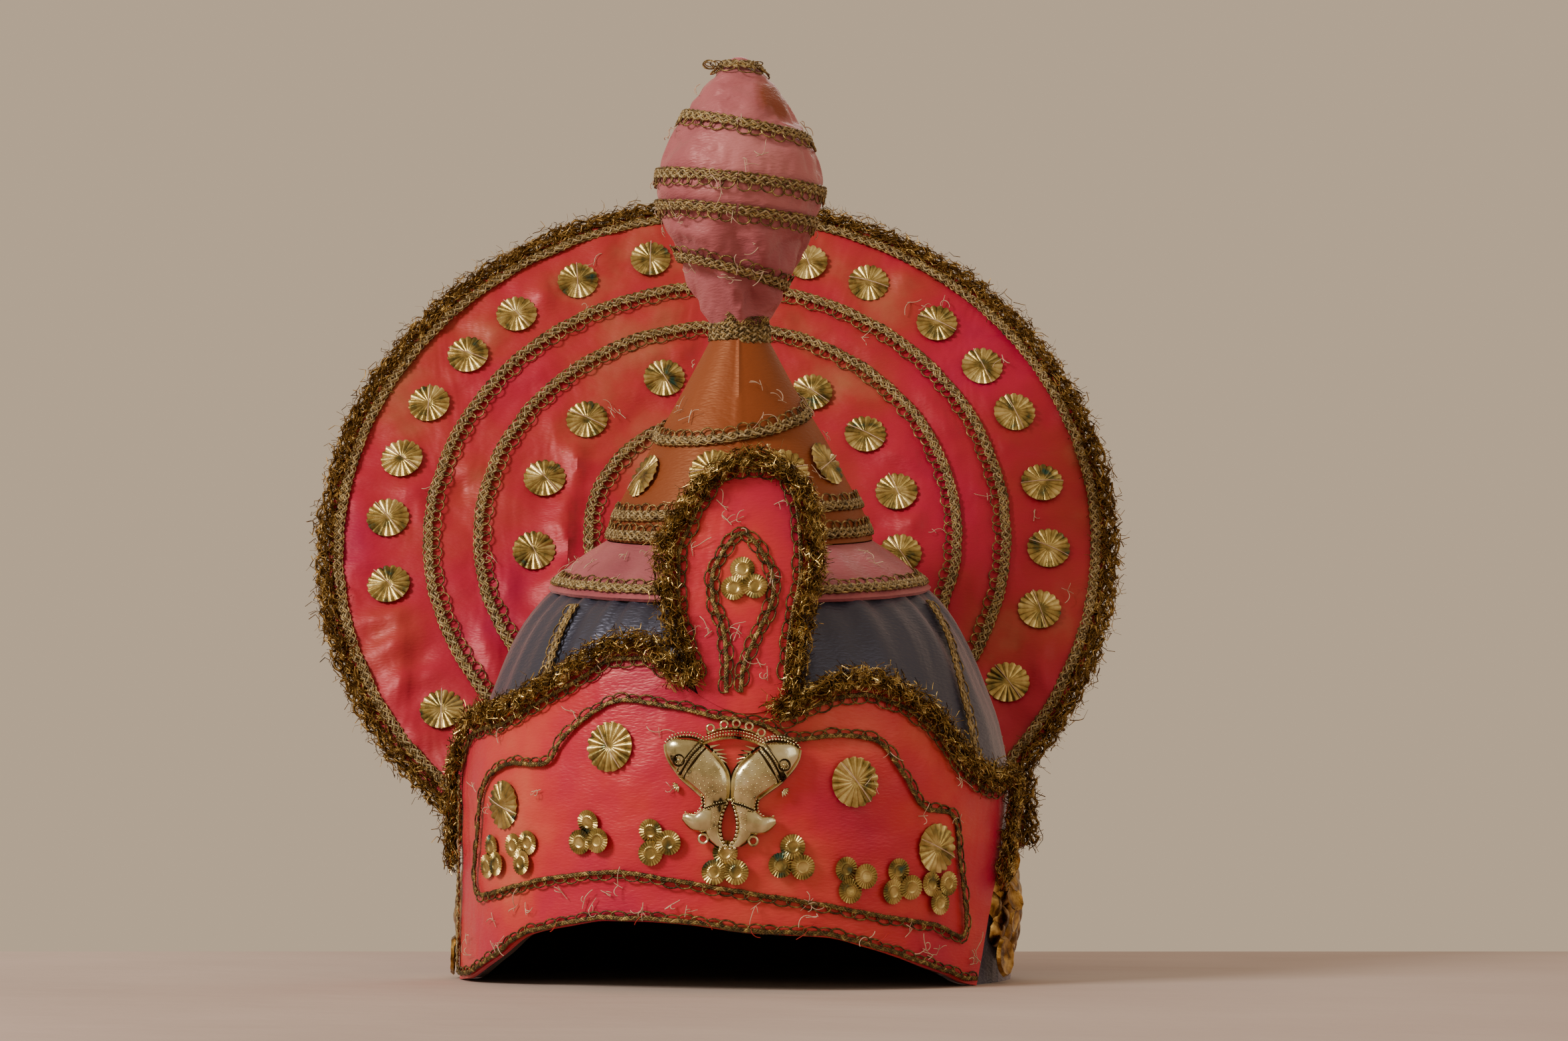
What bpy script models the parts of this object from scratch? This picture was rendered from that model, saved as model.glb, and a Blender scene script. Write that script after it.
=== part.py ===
"""Theatre crown with a round halo, in metres.

+X is the viewer's right, -Y is the front and +Z is up. The crown is built about the axis of its
cap, whose rim stands on Z = 0, and is then moved so that the middle of its box is on the Z axis.
"""

import math
from bisect import bisect_right
from collections import namedtuple

import bmesh
import bpy
from mathutils import Vector

# Gaps between pieces that are sewn against each other
SEAT = 0.0003
SEWN_GAP = 0.0005
STRIPE_GAP = 0.0030
PLAQUE_SEAT = 0.0009

# Cap, collar, cone and spindle: heights run along the spine, which leans forward
CAP_RADIUS = 0.098
CAP_WALL = 0.0025
COLLAR_FOOT = 0.141
CROWN_LEAN = math.radians(9)
COLLAR_HEIGHT = 0.017
COLLAR_WALL = 0.0015
COLLAR_EASE = 0.0012
CONE_HEIGHT = 0.074
CONE_RADIUS = 0.048
CONE_WALL = 0.0016
SPINDLE_HEIGHT = 0.0995
SPINDLE_RADIUS = 0.030

# Halo: a round panel that leans back, cut out where the cap passes through it
HALO_RADIUS = 0.152
HALO_THICKNESS = 0.003
HALO_LEAN = math.radians(22)
HALO_SIDE = -0.010
HALO_BACK = 0.0657
HALO_RISE = 0.1701
HALO_FOOT_REACH = 0.007
HALO_FOOT_DROP = 0.132
FRINGE_DEPTH = 0.008
FRINGE_PROUD = 0.0018

# Frontlet: the band round the forehead and the plaque that stands on it
BAND_HEIGHT = 0.127
FRONTLET_WALL = 0.002
FRONTLET_EASE = 0.0009
FRONTLET_SPAN = 0.190
PLAQUE_TOP = 0.189
PLAQUE_WIDTH = 0.049
HEM_TUCK = 1.08

# Trims
GIMP_WIDTH = 0.0045
GIMP_THICKNESS = 0.0018
PICOT_WIDTH = 0.0024
PICOT_THICKNESS = 0.0014
TINSEL_WIDTH = 0.0055
TINSEL_THICKNESS = 0.0035
TINSEL_SWAY = 0.0006
TINSEL_PINCH = 0.78
DISC_RADIUS = 0.00825
DISC_THICKNESS = 0.0014
DISC_SINK = 0.0004
NECK_WRAP_WIDTH = 0.008
COIN_RADIUS = 0.004
COIN_SPREAD = 0.0042
COIN_THICKNESS = 0.0011
COIN_LAP = 0.00025
FISH_WIDTH = 0.045
FISH_HEIGHT = 0.322 * BAND_HEIGHT
FISH_PLATE = 0.0012
FISH_RISE = 0.0042
ROSETTE_RADIUS = 0.020
ROSETTE_PAD = 0.0012
PETAL_RADIUS = 0.0075
PETAL_THICKNESS = 0.0012
PETAL_SINK = 0.4
PETAL_LAP = 0.35

# Facets round the turned pieces and the stamped ones
CAP_SIDES = 36
CONE_SIDES = 24
SPINDLE_SIDES = 18
DISC_SIDES = 10
FIELD_SIDES = 8
COIN_SIDES = 8
FLOWER_SIDES = 6
PAD_SIDES = 14
# Stations along the edges and the braids
PANEL_STEPS = 52
RIM_STEPS = 36
HALO_FRINGE_STEPS = 56
BAND_STEPS = 28
FRAME_STEPS = 46
TEARDROP_STEPS = 22
STRIPE_STEPS = 9
CURVE_STEPS = 12

# Outlines of the turned pieces: shares of each piece's own height and radius, and for the
# collar the share of the way from the cap's radius to the cone's
Section = namedtuple("Section", "height radius")
CAP_SECTIONS = (
    Section(0.00, 1.000),
    Section(0.49, 1.000),
    Section(0.64, 0.965),
    Section(0.75, 0.908),
    Section(0.89, 0.816),
    Section(1.00, 0.680),
    Section(1.06, 0.500),
    Section(1.10, 0.320),
    Section(1.13, 0.100),
)
COLLAR_SECTIONS = (Section(0.0, 0.00), Section(0.5, 0.45), Section(1.0, 1.00))
CONE_SECTIONS = (
    Section(0.00, 1.00),
    Section(0.15, 0.92),
    Section(0.31, 0.79),
    Section(0.53, 0.60),
    Section(0.75, 0.40),
    Section(1.00, 0.20),
)
SPINDLE_SECTIONS = (
    Section(0.00, 0.31),
    Section(0.06, 0.36),
    Section(0.22, 0.64),
    Section(0.38, 0.88),
    Section(0.52, 1.00),
    Section(0.60, 0.96),
    Section(0.69, 0.84),
    Section(0.78, 0.68),
    Section(0.87, 0.47),
    Section(0.94, 0.29),
    Section(1.00, 0.10),
)
# The frontlet's back: shares of FRONTLET_SPAN and of the radius at its hem
FRONTLET_SECTIONS = (
    Section(0.000, 1.000),
    Section(0.363, 1.000),
    Section(0.558, 0.950),
    Section(0.663, 0.905),
    Section(0.742, 0.870),
    Section(1.000, 0.720),
)

# Band: azimuth of its hem and top edge in degrees, and their heights as shares of BAND_HEIGHT
BandColumn = namedtuple("BandColumn", "foot top hem edge")
BAND_COLUMNS = (
    BandColumn(-80, -80, 0.000, 0.580),
    BandColumn(-70, -70, 0.010, 0.740),
    BandColumn(-54, -54, 0.080, 0.790),
    BandColumn(-44, -44, 0.150, 0.850),
    BandColumn(-34, -34, 0.180, 0.925),
    BandColumn(-25, -25, 0.200, 0.995),
    BandColumn(-18, -18, 0.200, 1.000),
    BandColumn(-9, -9, 0.193, 0.870),
    BandColumn(2, 2, 0.170, 0.800),
    BandColumn(10, 10, 0.162, 0.820),
    BandColumn(17, 17, 0.155, 0.870),
    BandColumn(25, 26, 0.125, 0.890),
    BandColumn(33, 35, 0.090, 0.850),
    BandColumn(39, 42, 0.060, 0.780),
    BandColumn(45, 50, 0.035, 0.650),
    BandColumn(50, 60, 0.010, 0.585),
    BandColumn(54, 70, 0.000, 0.585),
)
# Plaque: its sides as shares of PLAQUE_WIDTH, at shares of its rise over the band
PlaqueRow = namedtuple("PlaqueRow", "rise left right")
PLAQUE_ROWS = (
    PlaqueRow(0.00, -0.25, 0.38),
    PlaqueRow(0.17, -0.37, 0.41),
    PlaqueRow(0.36, -0.47, 0.46),
    PlaqueRow(0.55, -0.48, 0.53),
    PlaqueRow(0.75, -0.37, 0.51),
    PlaqueRow(0.92, -0.18, 0.39),
    PlaqueRow(1.00, 0.08, 0.20),
)

# Routes of braids over the frontlet: azimuth in degrees, height as a share of BAND_HEIGHT
Stop = namedtuple("Stop", "azimuth height")
BAND_FRAME = (
    Stop(-62.0, 0.26),
    Stop(-40.0, 0.31),
    Stop(-24.0, 0.34),
    Stop(-11.0, 0.32),
    Stop(0.0, 0.29),
    Stop(16.0, 0.25),
    Stop(29.0, 0.21),
    Stop(41.0, 0.18),
    Stop(49.5, 0.15),
    Stop(48.0, 0.36),
    Stop(46.0, 0.49),
    Stop(38.3, 0.52),
    Stop(33.3, 0.62),
    Stop(28.5, 0.71),
    Stop(20.3, 0.735),
    Stop(10.9, 0.725),
    Stop(6.0, 0.765),
    Stop(1.0, 0.782),
    Stop(-4.0, 0.790),
    Stop(-8.9, 0.81),
    Stop(-21.9, 0.835),
    Stop(-28.7, 0.80),
    Stop(-35.6, 0.72),
    Stop(-39.5, 0.645),
    Stop(-50.5, 0.635),
    Stop(-59.0, 0.57),
    Stop(-62.0, 0.44),
)
TEARDROP = (
    Stop(-1.7, 0.86),
    Stop(-1.9, 0.95),
    Stop(-2.6, 1.04),
    Stop(-5.0, 1.13),
    Stop(-4.4, 1.215),
    Stop(1.5, 1.295),
    Stop(7.3, 1.215),
    Stop(8.0, 1.13),
    Stop(4.6, 1.03),
    Stop(1.6, 0.94),
    Stop(1.1, 0.86),
)
# Braids down the cap: shares of the way from just above the band to the collar's foot
CAP_STRIPES = {
    "dome_stripe_left": (Stop(-52, 0.89), Stop(-50, 0.54), Stop(-48.5, 0.24), Stop(-47.5, 0.0)),
    "dome_stripe_right": (Stop(69, 0.93), Stop(64, 0.69), Stop(60, 0.42), Stop(57, 0.0)),
}
# Rings of braid: height, rise to the viewer's right and rise to the back, as shares of the
# height of the piece that each goes round
Ring = namedtuple("Ring", "height side_rise back_rise")
COLLAR_RING = Ring(0.18, 0.0, 0.0)
CONE_RINGS = {
    "cone_hem_braid": Ring(0.045, 0.010, 0.0),
    "cone_lower_braid": Ring(0.155, 0.030, 0.0),
    "cone_upper_braid": Ring(0.580, 0.065, 0.07),
}
SPINDLE_RINGS = {
    "spindle_lower_braid": Ring(0.230, -0.055, 0.0),
    "spindle_waist_lower": Ring(0.425, -0.033, 0.0),
    "spindle_waist_upper": Ring(0.535, -0.033, 0.0),
    "spindle_upper_braid": Ring(0.735, -0.045, 0.0),
    "tip_braid": Ring(0.955, -0.004, 0.0),
}

# Braided arches on the halo: shares of HALO_RADIUS, each cut off where it meets the cap
HALO_ARCHES = {"halo_outer_braid": 0.740, "halo_inner_braid": 0.613, "halo_core_braid": 0.330}
ARCH_REACH = math.radians(150)
RIM_BRAID_INSET = 0.0038
OUTER_DISCS = (-127, -101, -88, -76, -64, -52, -40, -27, -13, 2, 16, 28, 43, 55, 66, 81, 94, 106, 121)
OUTER_DISC_ROW = 0.852
INNER_DISCS = (-98, -72, -47, -18, 6, 31, 54, 77, 99)
INNER_DISC_ROW = 0.475

# Single discs: azimuth in degrees, height as a share of CONE_HEIGHT or BAND_HEIGHT
CONE_DISCS = (Stop(-62, 0.31), Stop(-14, 0.34), Stop(27.5, 0.34), Stop(60, 0.37))
BAND_DISCS = (Stop(-24.7, 0.70), Stop(22.9, 0.60), Stop(-51.5, 0.518), Stop(41.5, 0.400))
Cluster = namedtuple("Cluster", "azimuth height turn")
BAND_CLUSTERS = (
    Cluster(-55.5, 0.360, 10),
    Cluster(-45.5, 0.392, -50),
    Cluster(-28.5, 0.446, 5),
    Cluster(-14.6, 0.430, 30),
    Cluster(-1.8, 0.364, 0),
    Cluster(10.5, 0.380, -5),
    Cluster(22.5, 0.322, 40),
    Cluster(32.5, 0.305, 10),
    Cluster(42.0, 0.280, 60),
)
PLAQUE_CLUSTER = Cluster(1.7, 1.17, 5)

# Twin fish, right half: shares of half the ornament's width and height, and of FISH_RISE
FishSection = namedtuple("FishSection", "across up half_width rise")
FISH_SECTIONS = (
    FishSection(0.84, 0.76, 0.06, 0.40),
    FishSection(0.66, 0.70, 0.20, 0.80),
    FishSection(0.50, 0.48, 0.27, 1.00),
    FishSection(0.34, 0.16, 0.28, 1.00),
    FishSection(0.25, -0.16, 0.22, 0.85),
    FishSection(0.27, -0.46, 0.15, 0.60),
    FishSection(0.36, -0.72, 0.20, 0.45),
    FishSection(0.46, -0.93, 0.26, 0.30),
)
FISH_SEAT = Stop(-0.8, 0.596)
# The plate behind the fish, right half, from the top round to the bottom
PlatePoint = namedtuple("PlatePoint", "across up")
FISH_PLATE_OUTLINE = (
    PlatePoint(0.00, 0.94),
    PlatePoint(0.42, 1.00),
    PlatePoint(0.96, 0.86),
    PlatePoint(0.80, 0.45),
    PlatePoint(0.84, 0.12),
    PlatePoint(0.50, -0.10),
    PlatePoint(0.58, -0.42),
    PlatePoint(0.88, -0.48),
    PlatePoint(0.70, -0.72),
    PlatePoint(0.62, -1.00),
    PlatePoint(0.16, -0.92),
    PlatePoint(0.10, -0.50),
    PlatePoint(0.00, -0.28),
)

# Rosettes of stamped flowers on the cap: ring radius as a share, count, and rise of the flowers
PetalRing = namedtuple("PetalRing", "spread count lift")
ROSETTE_RINGS = (PetalRing(0.62, 6, 0.0), PetalRing(0.0, 1, 0.8))
ROSETTE_SEATS = {"rosette_right": Stop(73.0, 0.22), "rosette_left": Stop(-92.5, 0.17)}

# Fringes: stretches of the band's top edge as shares of its length, how far down its right end
# each goes on, and where the plaque's starts
Fringe = namedtuple("Fringe", "start end steps drop")
FRINGES = {
    "band_fringe_left": Fringe(0.02, 0.385, 24, ()),
    "band_fringe_right": Fringe(0.56, 1.0, 26, (0.93, 0.85, 0.77, 0.69, 0.61)),
}
PLAQUE_FRINGE_FOOT = 0.14

# Finishes: colour, roughness, metallic
Finish = namedtuple("Finish", "colour roughness metallic")
FINISHES = {
    "red_satin": Finish((0.58, 0.04, 0.05), 0.45, 0.0),
    "blue_grey_satin": Finish((0.075, 0.083, 0.12), 0.5, 0.0),
    "orange_satin": Finish((0.38, 0.085, 0.022), 0.45, 0.0),
    "pink_satin": Finish((0.50, 0.13, 0.15), 0.45, 0.0),
    "gold_braid": Finish((0.30, 0.20, 0.08), 0.6, 0.4),
    "bronze_tinsel": Finish((0.13, 0.08, 0.02), 0.4, 0.8),
    "brass": Finish((0.38, 0.29, 0.05), 0.35, 1.0),
    "pale_gold": Finish((0.70, 0.60, 0.28), 0.2, 1.0),
    "copper_gold": Finish((0.52, 0.24, 0.05), 0.3, 1.0),
}

X_AXIS = Vector((1, 0, 0))
Face = namedtuple("Face", "point across up out")


def eased(rows, x, column=1):
    """A table's column at x, on a smooth curve through its rows that never overshoots."""
    keys = [row[0] for row in rows]
    values = [row[column] for row in rows]
    if x <= keys[0] or x >= keys[-1]:
        return values[0] if x <= keys[0] else values[-1]
    steps = [(v1 - v0) / (k1 - k0) for k0, k1, v0, v1 in zip(keys, keys[1:], values, values[1:])]
    inner = [2 * a * b / (a + b) if a * b > 0 else 0.0 for a, b in zip(steps, steps[1:])]
    grades = [steps[0], *inner, steps[-1]]
    i = bisect_right(keys, x) - 1
    width = keys[i + 1] - keys[i]
    t = (x - keys[i]) / width
    rise = values[i + 1] - values[i]
    bend = grades[i] * width * t * (1 - t) ** 2 - grades[i + 1] * width * t * t * (1 - t)
    return values[i] + rise * t * t * (3 - 2 * t) + bend


def cap_radius(height):
    return CAP_RADIUS * eased(CAP_SECTIONS, height / COLLAR_FOOT)


def collar_radius(height):
    hem = cap_radius(COLLAR_FOOT) + COLLAR_EASE + COLLAR_WALL
    return hem + (CONE_RADIUS - hem) * eased(COLLAR_SECTIONS, (height - COLLAR_FOOT) / COLLAR_HEIGHT)


CONE_FOOT = COLLAR_FOOT + COLLAR_HEIGHT + SEWN_GAP
SPINDLE_FOOT = CONE_FOOT + CONE_HEIGHT + SEAT


def cone_radius(height):
    return CONE_RADIUS * eased(CONE_SECTIONS, (height - CONE_FOOT) / CONE_HEIGHT)


def spindle_radius(height):
    return SPINDLE_RADIUS * eased(SPINDLE_SECTIONS, (height - SPINDLE_FOOT) / SPINDLE_HEIGHT)


def frontlet_radius(height):
    """Outer face of the band and the plaque."""
    back = (CAP_RADIUS + FRONTLET_EASE) * eased(FRONTLET_SECTIONS, height / FRONTLET_SPAN)
    return back + FRONTLET_WALL


def spine(height):
    """Middle of the crown at a height along its axis, and how far it leans forward there."""
    bend_radius = COLLAR_FOOT / CROWN_LEAN
    lean = min(height, COLLAR_FOOT) / bend_radius
    straight = max(height - COLLAR_FOOT, 0.0)
    y = -bend_radius * (1 - math.cos(lean)) - straight * math.sin(lean)
    z = bend_radius * math.sin(lean) + straight * math.cos(lean)
    return Vector((0, y, z)), lean


def face_at(radius_at, azimuth, height, out=0.0):
    """Point and directions on a turned surface; azimuth is in radians from the front."""
    centre, lean = spine(height)
    axis = Vector((0, -math.sin(lean), math.cos(lean)))
    forward = Vector((0, -math.cos(lean), -math.sin(lean)))
    radial = math.sin(azimuth) * X_AXIS + math.cos(azimuth) * forward
    across = math.cos(azimuth) * X_AXIS - math.sin(azimuth) * forward
    step = 0.0005
    grade = (radius_at(height + step) - radius_at(height - step)) / (2 * step)
    normal = (radial - grade * axis).normalized()
    up = (axis + grade * radial).normalized()
    return Face(centre + radius_at(height) * radial + out * normal, across, up, normal)


def halo_face(u, v, out=0.0):
    """Point and directions on the halo's front, u to the right and v up from its middle."""
    up = Vector((0, math.sin(HALO_LEAN), math.cos(HALO_LEAN)))
    normal = Vector((0, -math.cos(HALO_LEAN), math.sin(HALO_LEAN)))
    middle = Vector((HALO_SIDE, HALO_BACK, HALO_RISE))
    return Face(middle + u * X_AXIS + v * up + out * normal, X_AXIS, up, normal)


def halo_polar(radius, angle, out=0.0):
    return halo_face(radius * math.sin(angle), radius * math.cos(angle), out)


def band_column(share):
    """Azimuths of hem and top edge and their heights, at a share of the band's length."""
    where = share * (len(BAND_COLUMNS) - 1)
    rows = [(i, *row) for i, row in enumerate(BAND_COLUMNS)]
    foot, top, hem, edge = (eased(rows, where, column) for column in range(1, 5))
    return math.radians(foot), math.radians(top), hem * BAND_HEIGHT, edge * BAND_HEIGHT


def band_edge(azimuth):
    """Height of the band's top edge at an azimuth."""
    return BAND_HEIGHT * eased([(row.top, row.edge) for row in BAND_COLUMNS], math.degrees(azimuth))


def cap_edge(azimuth):
    """Height of the cap's rim, tucked up behind the band's hem at the forehead."""
    degrees = (math.degrees(azimuth) + 180) % 360 - 180
    if not BAND_COLUMNS[0].foot < degrees < BAND_COLUMNS[-1].foot:
        return 0.0
    return HEM_TUCK * BAND_HEIGHT * eased([(row.foot, row.hem) for row in BAND_COLUMNS], degrees)


def plaque_point(side, rise):
    """Azimuth and height on the plaque: side runs from 0, left, to 1, right."""
    left = eased(PLAQUE_ROWS, rise, 1) * PLAQUE_WIDTH
    right = eased(PLAQUE_ROWS, rise, 2) * PLAQUE_WIDTH
    across = left + side * (right - left)
    foot = band_edge(across / frontlet_radius(BAND_HEIGHT * 0.8)) + PLAQUE_SEAT
    height = foot + rise * (PLAQUE_TOP - foot)
    return across / frontlet_radius(height), height


def smooth_route(points, count, closed=False):
    """Evenly spaced points on a smooth curve through the given ones."""
    points = [Vector(point) for point in points]
    total = len(points)
    fine = []
    for i in range(total if closed else total - 1):
        near = range(i - 1, i + 3)
        a, b, c, d = (points[k % total] if closed else points[min(max(k, 0), total - 1)] for k in near)
        for step in range(CURVE_STEPS):
            t = step / CURVE_STEPS
            bend = (2 * a - 5 * b + 4 * c - d) * t**2 + (3 * b - a - 3 * c + d) * t**3
            fine.append(b + 0.5 * ((c - a) * t + bend))
    fine.append(points[0] if closed else points[-1])
    lengths = [0.0]
    for a, b in zip(fine, fine[1:]):
        lengths.append(lengths[-1] + (b - a).length)
    route = []
    for i in range(count):
        goal = lengths[-1] * i / (count if closed else count - 1)
        k = min(max(bisect_right(lengths, goal) - 1, 0), len(fine) - 2)
        t = (goal - lengths[k]) / max(lengths[k + 1] - lengths[k], 1e-9)
        route.append(fine[k].lerp(fine[k + 1], t))
    return route


def material(name):
    found = bpy.data.materials.get(name)
    if found:
        return found
    finish = FINISHES[name]
    found = bpy.data.materials.new(name)
    found.use_nodes = True
    shader = found.node_tree.nodes["Principled BSDF"]
    shader.inputs["Base Color"].default_value = (*finish.colour, 1)
    shader.inputs["Roughness"].default_value = finish.roughness
    shader.inputs["Metallic"].default_value = finish.metallic
    return found


def add_object(name, shape, finish, crown):
    """Turns a bmesh into an object with its faces outwards, under the crown's empty."""
    bmesh.ops.recalc_face_normals(shape, faces=shape.faces)
    mesh = bpy.data.meshes.new(name)
    shape.to_mesh(mesh)
    shape.free()
    mesh.shade_smooth()
    mesh.set_sharp_from_angle(angle=math.radians(35))
    mesh.materials.append(material(finish))
    obj = bpy.data.objects.new(name, mesh)
    bpy.context.scene.collection.objects.link(obj)
    obj.parent = crown
    return obj


def loft(rings, looped=False, shape=None):
    """Skins a row of rings with the same count of points; the ends are capped or joined up."""
    shape = shape or bmesh.new()
    made = [[shape.verts.new(point) for point in ring] for ring in rings]
    pairs = list(zip(made, made[1:])) + ([(made[-1], made[0])] if looped else [])
    for low, high in pairs:
        for i in range(len(low)):
            j = (i + 1) % len(low)
            shape.faces.new((low[i], low[j], high[j], high[i]))
    if not looped:
        shape.faces.new(made[0])
        shape.faces.new(made[-1])
    return shape


def sheet(grid_out, grid_in):
    """A closed wall between two grids of points, each a list of rows."""
    shape = bmesh.new()
    outer, inner = ([[shape.verts.new(p) for p in row] for row in grid] for grid in (grid_out, grid_in))
    rows, columns = len(outer), len(outer[0])
    for grid in (outer, inner):
        for i in range(rows - 1):
            for j in range(columns - 1):
                shape.faces.new((grid[i][j], grid[i][j + 1], grid[i + 1][j + 1], grid[i + 1][j]))
    rim = [(0, j) for j in range(columns)] + [(i, columns - 1) for i in range(1, rows)]
    rim += [(rows - 1, j) for j in range(columns - 2, -1, -1)] + [(i, 0) for i in range(rows - 2, 0, -1)]
    for (i, j), (k, m) in zip(rim, rim[1:] + rim[:1]):
        shape.faces.new((outer[i][j], outer[k][m], inner[k][m], inner[i][j]))
    return shape


def ribbon(faces, profile_at, looped=False):
    """Sweeps a flat-backed profile along faces of a surface; profile_at(i) gives its points."""
    rings = []
    last = len(faces) - 1
    for i, face in enumerate(faces):
        before = faces[(i - 1) % len(faces)] if looped else faces[max(i - 1, 0)]
        after = faces[(i + 1) % len(faces)] if looped else faces[min(i + 1, last)]
        side = face.out.cross((after.point - before.point).normalized()).normalized()
        rings.append([face.point + u * side + w * face.out for u, w in profile_at(i)])
    return loft(rings, looped)


def braid_profile(width, thickness):
    half = width / 2
    shape = ((-half, 0.0), (-0.7 * half, thickness), (0.7 * half, thickness), (half, 0.0))
    return lambda i: shape


def tinsel_profile(width, thickness):
    """Locks of tinsel: the outer side swells and sways from one station to the next."""

    def points(i):
        foot = -width / 2
        tip = width / 2 * (1.0 if i % 2 else TINSEL_PINCH)
        sway = TINSEL_SWAY * (1 if i % 4 < 2 else -1)
        return ((foot, 0.0), (sway + 0.5 * foot, thickness), (sway + 0.5 * tip, thickness), (tip, 0.0))

    return points


def surface_route(radius_at, stops, height_unit, count, out, closed=False):
    """Faces along a route given as stops on a turned surface."""
    flat = [(math.radians(s.azimuth) * CAP_RADIUS, s.height * height_unit, 0) for s in stops]
    route = smooth_route(flat, count, closed)
    return [face_at(radius_at, p.x / CAP_RADIUS, p.y, out) for p in route]


def turned_wall(radius_at, wall, sides, outside, inside=None, foot_at=None):
    """A wall round the spine: down its outside by one row of heights and up its inside.

    Where the inside has heights of its own, both ends are closed by a flat crown; otherwise the
    wall is open at the top. foot_at raises the lowest stretch to a height that goes round it.
    """
    angles = [2 * math.pi * i / sides for i in range(sides)]

    def height_at(level, angle):
        if not foot_at or level >= COLLAR_FOOT:
            return level
        foot = foot_at(angle)
        return foot + (COLLAR_FOOT - foot) * level / COLLAR_FOOT

    def ring(level, out):
        return [face_at(radius_at, a, height_at(level, a), out).point for a in angles]

    rings = [ring(level, 0.0) for level in reversed(outside)]
    rings += [ring(level, -wall) for level in inside or outside]
    return loft(rings, looped=inside is None)


def spread(low, high, steps):
    return [low + (high - low) * i / steps for i in range(steps + 1)]


def prism(outline, face, low, high):
    """A flat plate whose outline is given across and up a face, from low to high above it."""
    flat = [face.point + u * face.across + v * face.up for u, v in outline]
    return loft([[point + out * face.out for point in flat] for out in (low, high)])


def dish(face, radius, thickness, sides, low=0.0, shape=None):
    """A stamped disc, thin at its rim and proud in the middle."""
    rows = ((1.0, 0.0), (1.0, 0.5), (0.45, 1.0))
    angles = [2 * math.pi * (i + 0.5) / sides for i in range(sides)]
    rings = []
    for share, rise in rows:
        out = face.point + (low + rise * thickness) * face.out
        turn = [(math.cos(a) * face.across + math.sin(a) * face.up) * radius * share for a in angles]
        rings.append([out + step for step in turn])
    return loft(rings, shape=shape)


def cutter_object(name, shape, crown):
    obj = add_object(name, shape, "red_satin", crown)
    obj.hide_render = True
    obj.display_type = "WIRE"
    return obj


def boolean(obj, other, operation):
    step = obj.modifiers.new(other.name, "BOOLEAN")
    step.operation = operation
    step.object = other


def ring_route(radius_at, foot, span, ring, count):
    """Faces round a turned piece, on a ring that rises to one side and to the back."""
    faces = []
    for i in range(count):
        a = 2 * math.pi * i / count
        share = ring.height + ring.side_rise * math.sin(a) - ring.back_rise * math.cos(a)
        faces.append(face_at(radius_at, a, foot + share * span, SEAT))
    return faces


def make_cap(crown):
    """The cloth-covered cap: rim on the table, raised at the forehead, closed at the crown."""
    outside = [COLLAR_FOOT * share for share in (0.0, 0.25, 0.50, 0.64, 0.76, 0.87, 1.0, 1.06, 1.12)]
    inside = [COLLAR_FOOT * share for share in (0.0, 0.50, 0.70, 0.87, 1.0, 1.08)]
    shape = turned_wall(cap_radius, CAP_WALL, CAP_SIDES, outside, inside, cap_edge)
    add_object("dome_cap", shape, "blue_grey_satin", crown)
    for name, stops in CAP_STRIPES.items():
        route = []
        for stop in stops:
            foot = band_edge(math.radians(stop.azimuth)) + STRIPE_GAP
            height = foot + stop.height * (COLLAR_FOOT - foot)
            route.append(Stop(stop.azimuth, height / COLLAR_FOOT))
        faces = surface_route(cap_radius, route, COLLAR_FOOT, STRIPE_STEPS, SEAT)
        add_object(name, ribbon(faces, braid_profile(GIMP_WIDTH, GIMP_THICKNESS)), "gold_braid", crown)


def make_collar_and_cone(crown):
    levels = spread(COLLAR_FOOT, COLLAR_FOOT + COLLAR_HEIGHT, 2)
    shape = turned_wall(collar_radius, COLLAR_WALL, CONE_SIDES, levels)
    add_object("pink_collar", shape, "pink_satin", crown)
    faces = ring_route(collar_radius, COLLAR_FOOT, COLLAR_HEIGHT, COLLAR_RING, CONE_SIDES)
    shape = ribbon(faces, braid_profile(GIMP_WIDTH, GIMP_THICKNESS), looped=True)
    add_object("collar_braid", shape, "gold_braid", crown)

    levels = spread(CONE_FOOT, CONE_FOOT + CONE_HEIGHT, 4)
    shape = turned_wall(cone_radius, CONE_WALL, CONE_SIDES, levels)
    add_object("orange_cone", shape, "orange_satin", crown)
    for name, ring in CONE_RINGS.items():
        faces = ring_route(cone_radius, CONE_FOOT, CONE_HEIGHT, ring, CONE_SIDES)
        shape = ribbon(faces, braid_profile(GIMP_WIDTH, GIMP_THICKNESS), looped=True)
        add_object(name, shape, "gold_braid", crown)
    for i, stop in enumerate(CONE_DISCS, 1):
        height = CONE_FOOT + stop.height * CONE_HEIGHT
        face = face_at(cone_radius, math.radians(stop.azimuth), height, SEAT)
        add_object(f"cone_disc_{i}", dish(face, DISC_RADIUS, DISC_THICKNESS, DISC_SIDES), "brass", crown)


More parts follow.
